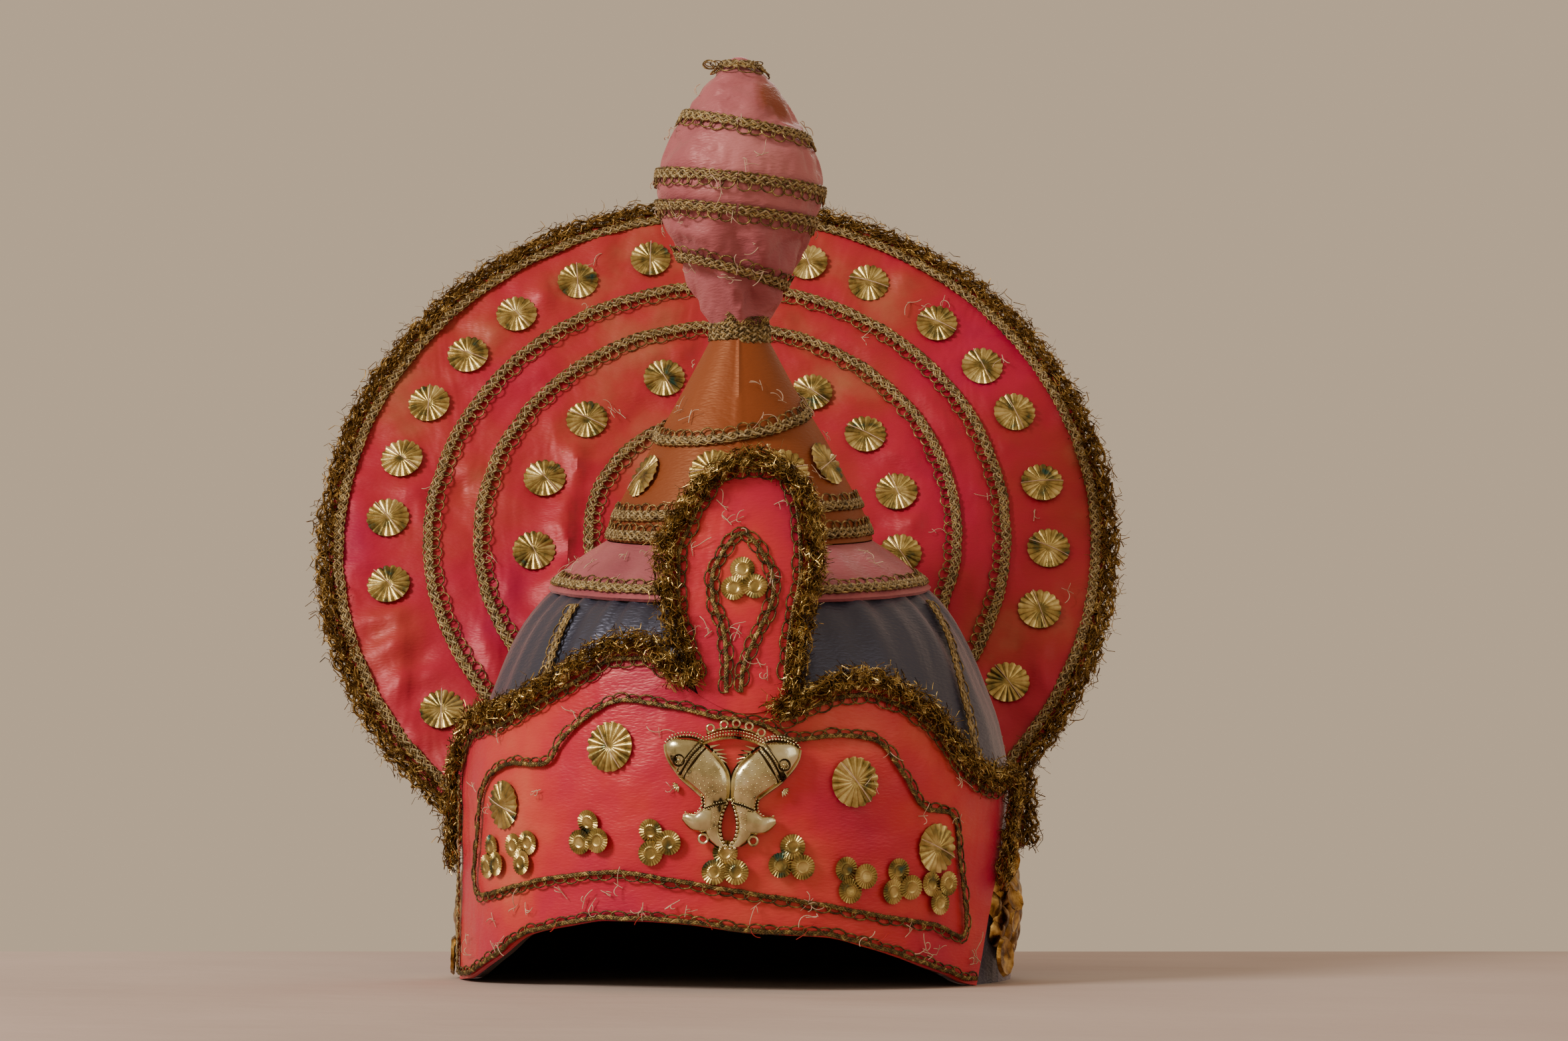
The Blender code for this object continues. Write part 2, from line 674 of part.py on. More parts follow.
def make_spindle(crown):
    """The padded finial: two cones of cloth base to base, wrapped at its neck."""
    angles = [2 * math.pi * i / SPINDLE_SIDES for i in range(SPINDLE_SIDES)]
    heights = [SPINDLE_FOOT + section.height * SPINDLE_HEIGHT for section in SPINDLE_SECTIONS]
    shape = loft([[face_at(spindle_radius, a, h).point for a in angles] for h in heights])
    add_object("finial_spindle", shape, "pink_satin", crown)
    for name, ring in SPINDLE_RINGS.items():
        faces = ring_route(spindle_radius, SPINDLE_FOOT, SPINDLE_HEIGHT, ring, SPINDLE_SIDES)
        shape = ribbon(faces, braid_profile(GIMP_WIDTH, GIMP_THICKNESS), looped=True)
        add_object(name, shape, "gold_braid", crown)

    reach = NECK_WRAP_WIDTH / 2
    inside = max(cone_radius(SPINDLE_FOOT - reach), spindle_radius(SPINDLE_FOOT + reach))
    faces = ring_route(lambda height: inside, SPINDLE_FOOT, 1.0, Ring(0, 0, 0), SPINDLE_SIDES)
    shape = ribbon(faces, braid_profile(NECK_WRAP_WIDTH, GIMP_THICKNESS), looped=True)
    add_object("neck_wrap", shape, "gold_braid", crown)


def halo_outline(grow, steps):
    """The panel's outline: an arc, and feet that come down beside the cap."""
    reach = CAP_RADIUS + HALO_FOOT_REACH + grow
    left, right = reach + HALO_SIDE, reach - HALO_SIDE
    radius = HALO_RADIUS + grow
    start = math.asin(min(left / radius, 1.0)) - math.pi
    end = math.pi - math.asin(min(right / radius, 1.0))
    arc = [(radius * math.sin(a), radius * math.cos(a)) for a in spread(start, end, steps)]
    return [(-left, -HALO_FOOT_DROP), *arc, (right, -HALO_FOOT_DROP)]


def make_halo(crown):
    """Satin-covered board with its field of stamped discs, braided arches and tinsel fringe."""
    middle = halo_face(0, 0)
    panel = add_object(
        "halo_panel", prism(halo_outline(0.0, PANEL_STEPS), middle, -HALO_THICKNESS, 0.0), "red_satin", crown
    )

    def opening_radius(height):
        return SEWN_GAP + (collar_radius(height) if height > COLLAR_FOOT else cap_radius(height))

    angles = [2 * math.pi * i / CAP_SIDES for i in range(CAP_SIDES)]
    levels = spread(-CAP_WALL, COLLAR_FOOT, 10) + spread(COLLAR_FOOT + SEAT, CONE_FOOT + CAP_WALL, 3)
    rings = [[face_at(opening_radius, a, h).point for a in angles] for h in levels]
    cutter = cutter_object("cap_cutter", loft(rings), crown)
    boolean(panel, cutter, "DIFFERENCE")

    discs = bmesh.new()
    rows = ((OUTER_DISC_ROW, OUTER_DISCS), (INNER_DISC_ROW, INNER_DISCS))
    for row, places in rows:
        for angle in places:
            face = halo_polar(row * HALO_RADIUS, math.radians(angle), -DISC_SINK)
            dish(face, DISC_RADIUS, DISC_THICKNESS + DISC_SINK, FIELD_SIDES, shape=discs)
    boolean(panel, cutter_object("halo_discs", discs, crown), "UNION")

    for name, share in HALO_ARCHES.items():
        count = round(18 + 32 * share)
        faces = [halo_polar(share * HALO_RADIUS, a, SEAT) for a in spread(-ARCH_REACH, ARCH_REACH, count)]
        shape = ribbon(faces, braid_profile(GIMP_WIDTH, GIMP_THICKNESS))
        boolean(add_object(name, shape, "gold_braid", crown), cutter, "DIFFERENCE")

    faces = [halo_face(u, v, SEAT) for u, v in halo_outline(-RIM_BRAID_INSET, RIM_STEPS)]
    shape = ribbon(faces, braid_profile(GIMP_WIDTH, GIMP_THICKNESS))
    add_object("halo_rim_braid", shape, "gold_braid", crown)
    back = -HALO_THICKNESS - FRINGE_PROUD
    faces = [halo_face(u, v, back) for u, v in halo_outline(SEAT + FRINGE_DEPTH / 2, HALO_FRINGE_STEPS)]
    profile = tinsel_profile(FRINGE_DEPTH, HALO_THICKNESS + 2 * FRINGE_PROUD)
    add_object("halo_fringe", ribbon(faces, profile), "bronze_tinsel", crown)


def front_face(stop, unit=BAND_HEIGHT, out=SEAT):
    return face_at(frontlet_radius, math.radians(stop.azimuth), stop.height * unit, out)


def coin_cluster(name, cluster, crown):
    """Three small coins sewn edge over edge, fused into one piece."""
    face = front_face(cluster)
    coins = []
    for i in range(3):
        a = math.radians(cluster.turn + 90 + 120 * i)
        point = face.point + COIN_SPREAD * (math.cos(a) * face.across + math.sin(a) * face.up)
        coins.append(dish(face._replace(point=point), COIN_RADIUS, COIN_THICKNESS, COIN_SIDES, i * COIN_LAP))
    first = add_object(name, coins[0], "brass", crown)
    for i, coin in enumerate(coins[1:], 2):
        boolean(first, cutter_object(f"{name}_coin_{i}", coin, crown), "UNION")


def make_frontlet(crown):
    """The band round the forehead, the plaque on it, and their braids, fringes and discs."""
    band_out, band_in, plaque_out, plaque_in = [], [], [], []
    for share in spread(0.0, 1.0, BAND_STEPS):
        foot, top, hem, edge = band_column(share)
        column = [(foot + (top - foot) * t, hem + (edge - hem) * t) for t in spread(0.0, 1.0, 4)]
        band_out.append([face_at(frontlet_radius, a, h).point for a, h in column])
        band_in.append([face_at(frontlet_radius, a, h, -FRONTLET_WALL).point for a, h in column])
    add_object("front_band", sheet(band_out, band_in), "red_satin", crown)
    for rise in spread(0.0, 1.0, 9):
        row = [plaque_point(side, rise) for side in spread(0.0, 1.0, 6)]
        plaque_out.append([face_at(frontlet_radius, a, h).point for a, h in row])
        plaque_in.append([face_at(frontlet_radius, a, h, -FRONTLET_WALL).point for a, h in row])
    add_object("front_plaque", sheet(plaque_out, plaque_in), "red_satin", crown)

    picot = braid_profile(PICOT_WIDTH, PICOT_THICKNESS)
    faces = surface_route(frontlet_radius, BAND_FRAME, BAND_HEIGHT, FRAME_STEPS, SEAT, closed=True)
    add_object("band_frame_braid", ribbon(faces, picot, looped=True), "gold_braid", crown)
    faces = surface_route(frontlet_radius, TEARDROP, BAND_HEIGHT, TEARDROP_STEPS, SEAT)
    add_object("teardrop_braid", ribbon(faces, picot), "gold_braid", crown)
    hem = []
    for share in spread(0.01, 0.99, BAND_STEPS):
        foot, top, low, edge = band_column(share)
        hem.append(face_at(frontlet_radius, foot, low + PICOT_WIDTH, SEAT))
    add_object("band_hem_braid", ribbon(hem, picot), "gold_braid", crown)

    tinsel = tinsel_profile(TINSEL_WIDTH, TINSEL_THICKNESS)
    for name, fringe in FRINGES.items():
        stations = [(share, 1.0) for share in spread(fringe.start, fringe.end, fringe.steps)]
        stations += [(fringe.end, rise) for rise in fringe.drop]
        faces = []
        for share, rise in stations:
            foot, top, low, edge = band_column(share)
            azimuth = foot + (top - foot) * rise
            faces.append(face_at(frontlet_radius, azimuth, low + (edge - low) * rise, SEAT))
        add_object(name, ribbon(faces, tinsel), "bronze_tinsel", crown)
    rises = spread(PLAQUE_FRINGE_FOOT, 1.0, 12)
    sides = [(0.0, rise) for rise in rises] + [(1.0, rise) for rise in reversed(rises)]
    faces = [face_at(frontlet_radius, *plaque_point(side, rise), SEAT) for side, rise in sides]
    add_object("plaque_fringe", ribbon(faces, tinsel), "bronze_tinsel", crown)

    for i, stop in enumerate(BAND_DISCS, 1):
        shape = dish(front_face(stop), DISC_RADIUS, DISC_THICKNESS, DISC_SIDES)
        add_object(f"band_disc_{i}", shape, "brass", crown)
    for i, cluster in enumerate(BAND_CLUSTERS, 1):
        coin_cluster(f"band_coins_{i}", cluster, crown)
    coin_cluster("plaque_coins", PLAQUE_CLUSTER, crown)


def make_fish(crown):
    """The cast ornament: a cut-out plate with a fish standing proud on each half."""
    face = front_face(FISH_SEAT)
    wide, tall = FISH_WIDTH / 2, FISH_HEIGHT / 2
    right = [(p.across * wide, p.up * tall) for p in FISH_PLATE_OUTLINE]
    outline = right + [(-u, v) for u, v in right[-2:0:-1]]
    plate = add_object("twin_fish", prism(outline, face, 0.0, FISH_PLATE), "pale_gold", crown)
    for side, name in ((1, "right"), (-1, "left")):
        rings = []
        spots = [Vector((side * s.across * wide, s.up * tall)) for s in FISH_SECTIONS]
        for i, section in enumerate(FISH_SECTIONS):
            along = (spots[min(i + 1, len(spots) - 1)] - spots[max(i - 1, 0)]).normalized()
            sideways = Vector((along.y, -along.x)) * section.half_width * wide
            ring = []
            for turn, rise in ((-1, 0.0), (-0.75, 0.7), (0, 1.0), (0.75, 0.7), (1, 0.0)):
                spot = spots[i] + turn * sideways
                out = 0.5 * FISH_PLATE + rise * section.rise * FISH_RISE
                ring.append(face.point + spot.x * face.across + spot.y * face.up + out * face.out)
            rings.append(ring)
        boolean(plate, cutter_object(f"fish_{name}", loft(rings), crown), "UNION")


def make_rosettes(crown):
    """Stamped flowers heaped on a small pad at each end of the band."""
    for name, seat in ROSETTE_SEATS.items():
        face = face_at(cap_radius, math.radians(seat.azimuth), seat.height * BAND_HEIGHT, SEAT)
        angles = [2 * math.pi * i / PAD_SIDES for i in range(PAD_SIDES)]
        pad = [(ROSETTE_RADIUS * math.cos(a), ROSETTE_RADIUS * math.sin(a)) for a in angles]
        base = add_object(name, prism(pad, face, 0.0, ROSETTE_PAD), "copper_gold", crown)
        for k, ring in enumerate(ROSETTE_RINGS):
            for i in range(ring.count):
                a = 2 * math.pi * i / ring.count
                point = face.point + ring.spread * ROSETTE_RADIUS * (
                    math.cos(a) * face.across + math.sin(a) * face.up
                )
                low = PETAL_SINK * ROSETTE_PAD
                thickness = ROSETTE_PAD + (1.0 + ring.lift + PETAL_LAP * (i % 2)) * PETAL_THICKNESS
                flower = dish(face._replace(point=point), PETAL_RADIUS, thickness, FLOWER_SIDES, low)
                boolean(base, cutter_object(f"{name}_flower_{k}_{i}", flower, crown), "UNION")


def stand_at_origin(crown):
    """Moves the crown so that the middle of its box is over the origin and its rim on Z = 0."""
    bpy.context.view_layer.update()
    graph = bpy.context.evaluated_depsgraph_get()
    points = []
    for obj in crown.children:
        if not obj.hide_render:
            mesh = obj.evaluated_get(graph).to_mesh()
            points += [vertex.co.copy() for vertex in mesh.vertices]
            obj.evaluated_get(graph).to_mesh_clear()
    low = [min(point[k] for point in points) for k in range(3)]
    high = [max(point[k] for point in points) for k in range(3)]
    crown.location = (-(low[0] + high[0]) / 2, -(low[1] + high[1]) / 2, -low[2])
    print("moved by", [round(value, 5) for value in crown.location])


def main():
    for obj in list(bpy.data.objects):
        bpy.data.objects.remove(obj, do_unlink=True)
    crown = bpy.data.objects.new("crown", None)
    bpy.context.scene.collection.objects.link(crown)
    make_cap(crown)
    make_collar_and_cone(crown)
    make_spindle(crown)
    make_halo(crown)
    make_frontlet(crown)
    make_fish(crown)
    make_rosettes(crown)
    stand_at_origin(crown)


main()
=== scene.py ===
# %% [markdown]
# # A theatre crown with a round halo
# The crown is a cloth-covered cap with a collar, a cone and a stuffed spindle stacked on it, a
# frontlet round the forehead, and a round satin halo behind. Each piece here takes the place of a
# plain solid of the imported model, so every piece is built where its solid is.

import math
from bisect import bisect_right
from collections import namedtuple

import bpy
import numpy as np
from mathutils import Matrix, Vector, noise


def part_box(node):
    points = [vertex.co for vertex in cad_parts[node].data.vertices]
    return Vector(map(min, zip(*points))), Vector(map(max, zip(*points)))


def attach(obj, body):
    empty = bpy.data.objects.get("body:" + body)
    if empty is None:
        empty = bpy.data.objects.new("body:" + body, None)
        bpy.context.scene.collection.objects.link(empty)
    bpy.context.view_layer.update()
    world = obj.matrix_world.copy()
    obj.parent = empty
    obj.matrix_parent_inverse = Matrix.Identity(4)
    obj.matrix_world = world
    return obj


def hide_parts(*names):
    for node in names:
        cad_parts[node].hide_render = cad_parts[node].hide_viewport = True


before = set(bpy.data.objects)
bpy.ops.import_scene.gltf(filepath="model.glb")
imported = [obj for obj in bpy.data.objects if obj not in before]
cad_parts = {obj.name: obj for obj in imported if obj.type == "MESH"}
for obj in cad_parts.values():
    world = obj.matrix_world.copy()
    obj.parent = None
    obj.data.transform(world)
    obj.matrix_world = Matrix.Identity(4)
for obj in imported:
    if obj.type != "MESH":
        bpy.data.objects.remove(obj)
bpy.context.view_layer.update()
print("nodes:", len(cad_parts))

# %% [markdown]
# ## Where the crown stands
# The crown is turned about the axis of its cap, which is not the middle of its box. The cap's own
# solid tells where that axis is: its box is centred on it from side to side, and its back is one
# radius behind it.

# %% Axis of the cap
CAP_RADIUS = 0.098
cap_low, cap_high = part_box("dome_cap")
AXIS = np.array([(cap_low.x + cap_high.x) / 2, cap_high.y - CAP_RADIUS, 0.0])
print("cap axis at", AXIS.round(5))

# %% [markdown]
# ## The outlines that the pieces share
# A hat maker would cut card templates for the profiles. Here each template is a short table of
# height and radius, joined by a smooth curve, and the whole stack follows a spine that leans
# forward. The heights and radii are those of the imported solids, so that cloth, braid and metal all
# lie on the same surface.

# %% Templates
COLLAR_FOOT = 0.141
CROWN_LEAN = math.radians(9)
COLLAR_HEIGHT = 0.017
CONE_FOOT = 0.1585
CONE_HEIGHT = 0.074
CONE_RADIUS = 0.048
SPINDLE_FOOT = 0.2328
SPINDLE_HEIGHT = 0.0995
SPINDLE_RADIUS = 0.030
FRONTLET_SPAN = 0.190
FRONTLET_RADIUS = 0.0989
FRONTLET_WALL = 0.002
BAND_HEIGHT = 0.127
PLAQUE_TOP = 0.189
PLAQUE_WIDTH = 0.049
CAP_OUTLINE = (
    (0.00, 1.000), (0.49, 1.000), (0.64, 0.965), (0.75, 0.908), (0.89, 0.816),
    (1.00, 0.680), (1.06, 0.500), (1.10, 0.320), (1.13, 0.100),
)
COLLAR_OUTLINE = ((0.0, 0.00), (0.5, 0.45), (1.0, 1.00))
CONE_OUTLINE = ((0.00, 1.00), (0.15, 0.92), (0.31, 0.79), (0.53, 0.60), (0.75, 0.40), (1.00, 0.20))
SPINDLE_OUTLINE = (
    (0.00, 0.31), (0.06, 0.36), (0.22, 0.64), (0.38, 0.88), (0.52, 1.00), (0.60, 0.96),
    (0.69, 0.84), (0.78, 0.68), (0.87, 0.47), (0.94, 0.29), (1.00, 0.10),
)
FRONTLET_OUTLINE = (
    (0.000, 1.000), (0.363, 1.000), (0.558, 0.950), (0.663, 0.905), (0.742, 0.870), (1.000, 0.720),
)


def eased(keys, values, x):
    """The value at x on a smooth curve through keys and values that never overshoots."""
    if x <= keys[0] or x >= keys[-1]:
        return values[0] if x <= keys[0] else values[-1]
    steps = [(v1 - v0) / (k1 - k0) for k0, k1, v0, v1 in zip(keys, keys[1:], values, values[1:])]
    inner = [2 * a * b / (a + b) if a * b > 0 else 0.0 for a, b in zip(steps, steps[1:])]
    grades = [steps[0], *inner, steps[-1]]
    i = bisect_right(keys, x) - 1
    width = keys[i + 1] - keys[i]
    t = (x - keys[i]) / width
    rise = values[i + 1] - values[i]
    bend = grades[i] * width * t * (1 - t) ** 2 - grades[i + 1] * width * t * t * (1 - t)
    return values[i] + rise * t * t * (3 - 2 * t) + bend


def lookup(rows, key=0, column=1, count=1200):
    """The curve through two columns of a table, read from samples, which is much quicker."""
    keys, values = [row[key] for row in rows], [row[column] for row in rows]
    xs = np.linspace(keys[0], keys[-1], count)
    ys = np.array([eased(keys, values, x) for x in xs])
    return lambda x: np.interp(x, xs, ys)


def profile(outline, radius, foot, height, inner=0.0):
    """The radius of a turned surface at any height, from an outline in shares of both."""
    share = lookup(outline)
    return lambda h: inner + radius * share((h - foot) / height)


COLLAR_HEM = CAP_RADIUS * 0.680 + 0.0027
cap_radius = profile(CAP_OUTLINE, CAP_RADIUS, 0.0, COLLAR_FOOT)
collar_radius = profile(
    COLLAR_OUTLINE, CONE_RADIUS - COLLAR_HEM, COLLAR_FOOT, COLLAR_HEIGHT, COLLAR_HEM
)
cone_radius = profile(CONE_OUTLINE, CONE_RADIUS, CONE_FOOT, CONE_HEIGHT)
spindle_radius = profile(SPINDLE_OUTLINE, SPINDLE_RADIUS, SPINDLE_FOOT, SPINDLE_HEIGHT)
frontlet_radius = profile(FRONTLET_OUTLINE, FRONTLET_RADIUS, 0.0, FRONTLET_SPAN, FRONTLET_WALL)

print("cap", round(float(cap_radius(0.1)), 4), "frontlet", round(float(frontlet_radius(0.1)), 4))

# %% [markdown]
# ## Points on a turned surface
# Everything sewn to the crown needs a place, a direction across, a direction up the cloth and a
# direction out of it. This helper gives all four for many places at once, with numpy, because a
# braid has thousands of them.

# %% Places on the crown
Places = namedtuple("Places", "point across up out")


def unit(v):
    return v / np.linalg.norm(v, axis=-1, keepdims=True)


def on_crown(radius_at, azimuth, height, lift=0.0):
    """Places on a turned surface; azimuth in radians from the front, height along the spine."""
    azimuth, height = np.broadcast_arrays(np.asarray(azimuth, float), np.asarray(height, float))
    bend = COLLAR_FOOT / CROWN_LEAN
    lean = np.minimum(height, COLLAR_FOOT) / bend
    straight = np.maximum(height - COLLAR_FOOT, 0.0)
    zero = np.zeros_like(lean)
    one = np.ones_like(lean)
    centre = np.stack([zero, -bend * (1 - np.cos(lean)) - straight * np.sin(lean),
                       bend * np.sin(lean) + straight * np.cos(lean)], -1)
    axis = np.stack([zero, -np.sin(lean), np.cos(lean)], -1)
    forward = np.stack([zero, -np.cos(lean), -np.sin(lean)], -1)
    right = np.stack([one, zero, zero], -1)
    s, c = np.sin(azimuth)[..., None], np.cos(azimuth)[..., None]
    radial = s * right + c * forward
    across = c * right - s * forward
    step = 0.0005
    grade = ((radius_at(height + step) - radius_at(height - step)) / (2 * step))[..., None]
    out = unit(radial - grade * axis)
    up = unit(axis + grade * radial)
    lift = np.broadcast_to(np.asarray(lift, float), height.shape)[..., None]
    point = AXIS + centre + radius_at(height)[..., None] * radial + lift * out
    return Places(point, across, up, out)


# %% [markdown]
# ## Points on the halo
# The halo is a flat board that leans back, so two numbers place anything on it.

# %% Places on the halo
HALO_RADIUS = 0.152
HALO_THICKNESS = 0.003
HALO_LEAN = math.radians(22)
HALO_ASIDE = 0.010
HALO_MIDDLE = AXIS + np.array([-HALO_ASIDE, 0.0657, 0.1701])
HALO_UP = np.array([0.0, math.sin(HALO_LEAN), math.cos(HALO_LEAN)])
HALO_OUT = np.array([0.0, -math.cos(HALO_LEAN), math.sin(HALO_LEAN)])
RIGHT = np.array([1.0, 0.0, 0.0])


def on_halo(u, v, lift=0.0):
    u, v, lift = np.broadcast_arrays(*(np.asarray(x, float) for x in (u, v, lift)))
    point = HALO_MIDDLE + u[..., None] * RIGHT + v[..., None] * HALO_UP
    point = point + lift[..., None] * HALO_OUT
    flat = np.ones(u.shape + (1,))
    return Places(point, flat * RIGHT, flat * HALO_UP, flat * HALO_OUT)


def halo_turn(radius, angle, lift=0.0):
    return on_halo(radius * np.sin(angle), radius * np.cos(angle), lift)


# %% [markdown]
# ## Finishes
# Satin is a weave whose long floats all run one way, so it reflects in soft streaks. A noise bends
# its colour between a deep and a worn tone, a stretched noise dents it, and a fine noise is the
# weave itself. The constants sit on the shader's own sockets.

# %% Satin
def srgb(r, g, b):
    """A colour given in 0 to 255, as the linear values that the shader wants."""
    linear = (((c / 255 + 0.055) / 1.055) ** 2.4 if c > 10 else c / 3294 for c in (r, g, b))
    return (*linear, 1.0)


def new_material(name):
    made = bpy.data.materials.new(name)
    made.use_nodes = True
    tree = made.node_tree
    coords = tree.nodes.new("ShaderNodeTexCoord").outputs["Object"]
    return made, tree, tree.nodes["Principled BSDF"], coords


def set_up(tree, node, sources, **values):
    """Links sources, the outputs of other nodes, to a node's sockets and sets values on others."""
    for socket, value in values.items():
        node.inputs[socket.replace("_", " ")].default_value = value
    for socket, source in sources.items():
        tree.links.new(source, node.inputs[socket])
    return node


def add_node(tree, kind, sources, **values):
    return set_up(tree, tree.nodes.new("ShaderNode" + kind), sources, **values)


def add_noise(tree, coords, scale, detail=3.0, stretch=None, turn=(0.0, 0.0, 0.0), swirl=0.0):
    if stretch:
        mapping = add_node(tree, "Mapping", {"Vector": coords}, Scale=stretch, Rotation=turn)
        coords = mapping.outputs["Vector"]
    values = {"Scale": scale, "Detail": detail, "Distortion": swirl}
    return add_node(tree, "TexNoise", {"Vector": coords}, **values).outputs["Fac"]


def add_ramp(tree, value, tones):
    """A colour ramp; each tone is a place on it and a red, a green and a blue."""
    ramp = add_node(tree, "ValToRGB", {"Fac": value})
    elements = ramp.color_ramp.elements
    while len(elements) < len(tones):
        elements.new(0.5)
    for element, (place, *colour) in zip(elements, tones):
        element.position = place
        element.color = srgb(*colour)
    return ramp.outputs["Color"]


def add_bump(tree, height, strength, distance, below=None):
    sources = {"Height": height, "Normal": below} if below else {"Height": height}
    return add_node(tree, "Bump", sources, Strength=strength, Distance=distance).outputs["Normal"]


def add_range(tree, value, low, high):
    return add_node(tree, "MapRange", {"Value": value}, To_Min=low, To_Max=high).outputs["Result"]


def satin(name, tones, roughness=0.34, sheen=0.12, tint=(255, 120, 110), crumple=0.35, patch=9.0,
          weave=0.3, shine=0.5, glow=(255, 255, 255)):
    made, tree, shader, coords = new_material(name)
    fade = add_noise(tree, coords, patch, 7.0)
    wrinkles = add_noise(tree, coords, 30.0, 3.0, (1.0, 1.0, 0.5), (0.0, 0.8, 0.0), 0.6)
    grain = add_noise(tree, coords, 900.0, 1.0, (0.5, 0.5, 1.6), (0.0, 0.5, 0.0))
    dented = add_bump(tree, wrinkles, crumple, 0.0035)
    set_up(
        tree, shader,
        {
            "Base Color": add_ramp(tree, fade, tones),
            "Normal": add_bump(tree, grain, weave, 0.0004, dented),
            "Roughness": add_range(tree, grain, roughness - 0.06, roughness + 0.14),
        },
        Sheen_Weight=sheen, Sheen_Roughness=0.35, Sheen_Tint=srgb(*tint),
        Specular_IOR_Level=shine, Specular_Tint=srgb(*glow),
    )
    return made


red_satin = satin("red_satin", (
    (0.27, 162, 14, 66), (0.39, 172, 20, 56), (0.50, 170, 32, 50),
    (0.59, 166, 50, 46), (0.70, 164, 90, 64),
), 0.40, 0.12, (255, 150, 160), 1.0, 17.0, shine=0.7, glow=(255, 165, 165))
band_satin = satin("band_satin", (
    (0.30, 168, 10, 66), (0.42, 186, 30, 64), (0.54, 196, 46, 58),
    (0.62, 202, 68, 62), (0.74, 208, 98, 78),
), 0.34, 0.18, (255, 165, 150), 0.6, 22.0, 0.35, 0.8, (255, 175, 155))
blue_satin = satin("blue_grey_satin", (
    (0.30, 26, 29, 42), (0.52, 38, 42, 58), (0.72, 62, 60, 74),
), 0.40, 0.85, (232, 214, 224), 0.6, weave=0.6, shine=0.9, glow=(214, 214, 240))
orange_satin = satin("orange_satin", (
    (0.30, 112, 50, 24), (0.52, 132, 66, 34), (0.74, 158, 90, 52),
), 0.44, 0.15, (255, 190, 120), weave=0.4, shine=0.6, glow=(255, 190, 140))
pink_satin = satin("pink_satin", (
    (0.30, 142, 70, 80), (0.52, 166, 92, 98), (0.74, 188, 118, 120),
), 0.42, 0.25, (255, 205, 205), patch=24.0, weave=0.6, shine=0.6, glow=(255, 190, 180))
lining_cloth = satin(
    "lining_cloth", ((0.30, 40, 30, 24), (0.70, 62, 48, 38)), 0.75, 0.0, (255, 255, 255)
)


def stain(made, centre, reach, colour):
    """Soaks a soft-edged spot of another colour into a cloth, round a place on it."""
    tree = made.node_tree
    socket = tree.nodes["Principled BSDF"].inputs["Base Color"]
    clean = socket.links[0].from_socket
    coords = tree.nodes.new("ShaderNodeTexCoord").outputs["Object"]
    away = tree.nodes.new("ShaderNodeVectorMath")
    away.operation = "DISTANCE"
    away.inputs[1].default_value = centre
    ragged = tree.nodes.new("ShaderNodeMath")
    ragged.operation = "MULTIPLY_ADD"
    ragged.inputs[1].default_value = reach
    mix = tree.nodes.new("ShaderNodeMix")
    mix.data_type = "RGBA"
    mix.inputs[7].default_value = colour
    set_up(tree, away, {0: coords})
    set_up(tree, ragged, {0: add_noise(tree, coords, 160.0), 2: away.outputs["Value"]})
    sources = {"Value": ragged.outputs["Value"]}
    share = add_node(tree, "MapRange", sources, From_Min=1.7 * reach, From_Max=1.2 * reach)
    set_up(tree, mix, {0: share.outputs["Result"], 6: clean})
    tree.links.new(mix.outputs[2], socket)


stained_height = SPINDLE_FOOT + 0.835 * SPINDLE_HEIGHT
stained = on_crown(spindle_radius, 0.90, stained_height).point
stain(pink_satin, stained, 0.0082, srgb(132, 62, 36))
print("satins ready")

# %% [markdown]
# ## Threads and metal
# The braid is twisted from cream cotton and gold-wrapped thread. The discs are thin brass foil
# that has gone dull and, here and there, green. Metal is shown by its roughness as much as by its
# colour, so both follow the same noise.

# %% Threads and metal
def metal(name, tones, roughness, bump=0.3, patch=180.0, metallic=1.0):
    made, tree, shader, coords = new_material(name)
    worn = add_noise(tree, coords, patch, 4.0)
    dents = add_noise(tree, coords, patch * 4, 2.0)
    set_up(
        tree, shader,
        {
            "Base Color": add_ramp(tree, worn, tones),
            "Roughness": add_range(tree, worn, *roughness),
            "Normal": add_bump(tree, dents, bump, 0.0004),
        },
        Metallic=metallic,
    )
    return made


cream_thread = metal("cream_thread", (
    (0.35, 118, 98, 62), (0.50, 156, 134, 92), (0.65, 190, 170, 126),
), (0.6, 0.85), 0.6, 600.0, 0.0)
gold_thread = metal("gold_thread", (
    (0.35, 76, 58, 30), (0.52, 128, 102, 56), (0.70, 198, 170, 108),
), (0.3, 0.55), 0.6, 500.0, 0.6)
dark_thread = metal("dark_gold_thread", (
    (0.35, 56, 44, 22), (0.55, 104, 84, 42), (0.72, 168, 140, 78),
), (0.3, 0.55), 0.6, 500.0, 0.6)
sewing_thread = metal(
    "sewing_thread", ((0.35, 178, 142, 116), (0.65, 214, 188, 160)), (0.7, 0.9), 0.3, 300.0, 0.0
)
red_thread = metal(
    "red_thread", ((0.35, 150, 20, 16), (0.65, 190, 40, 30)), (0.6, 0.8), 0.3, 300.0, 0.0
)
tinsel_foil = metal("tinsel_foil", (
    (0.30, 86, 62, 30), (0.44, 114, 84, 42), (0.56, 140, 108, 56), (0.72, 214, 180, 108),
), (0.42, 0.62), 0.2, 300.0)
bright_foil = metal("bright_foil", (
    (0.30, 72, 54, 26), (0.44, 118, 92, 46), (0.56, 162, 132, 72), (0.70, 240, 216, 146),
), (0.2, 0.42), 0.2, 300.0)
stamped_brass = metal("stamped_brass", (
    (0.27, 60, 94, 84), (0.36, 112, 100, 58), (0.50, 172, 148, 86), (0.74, 224, 204, 140),
), (0.22, 0.45), 0.25)
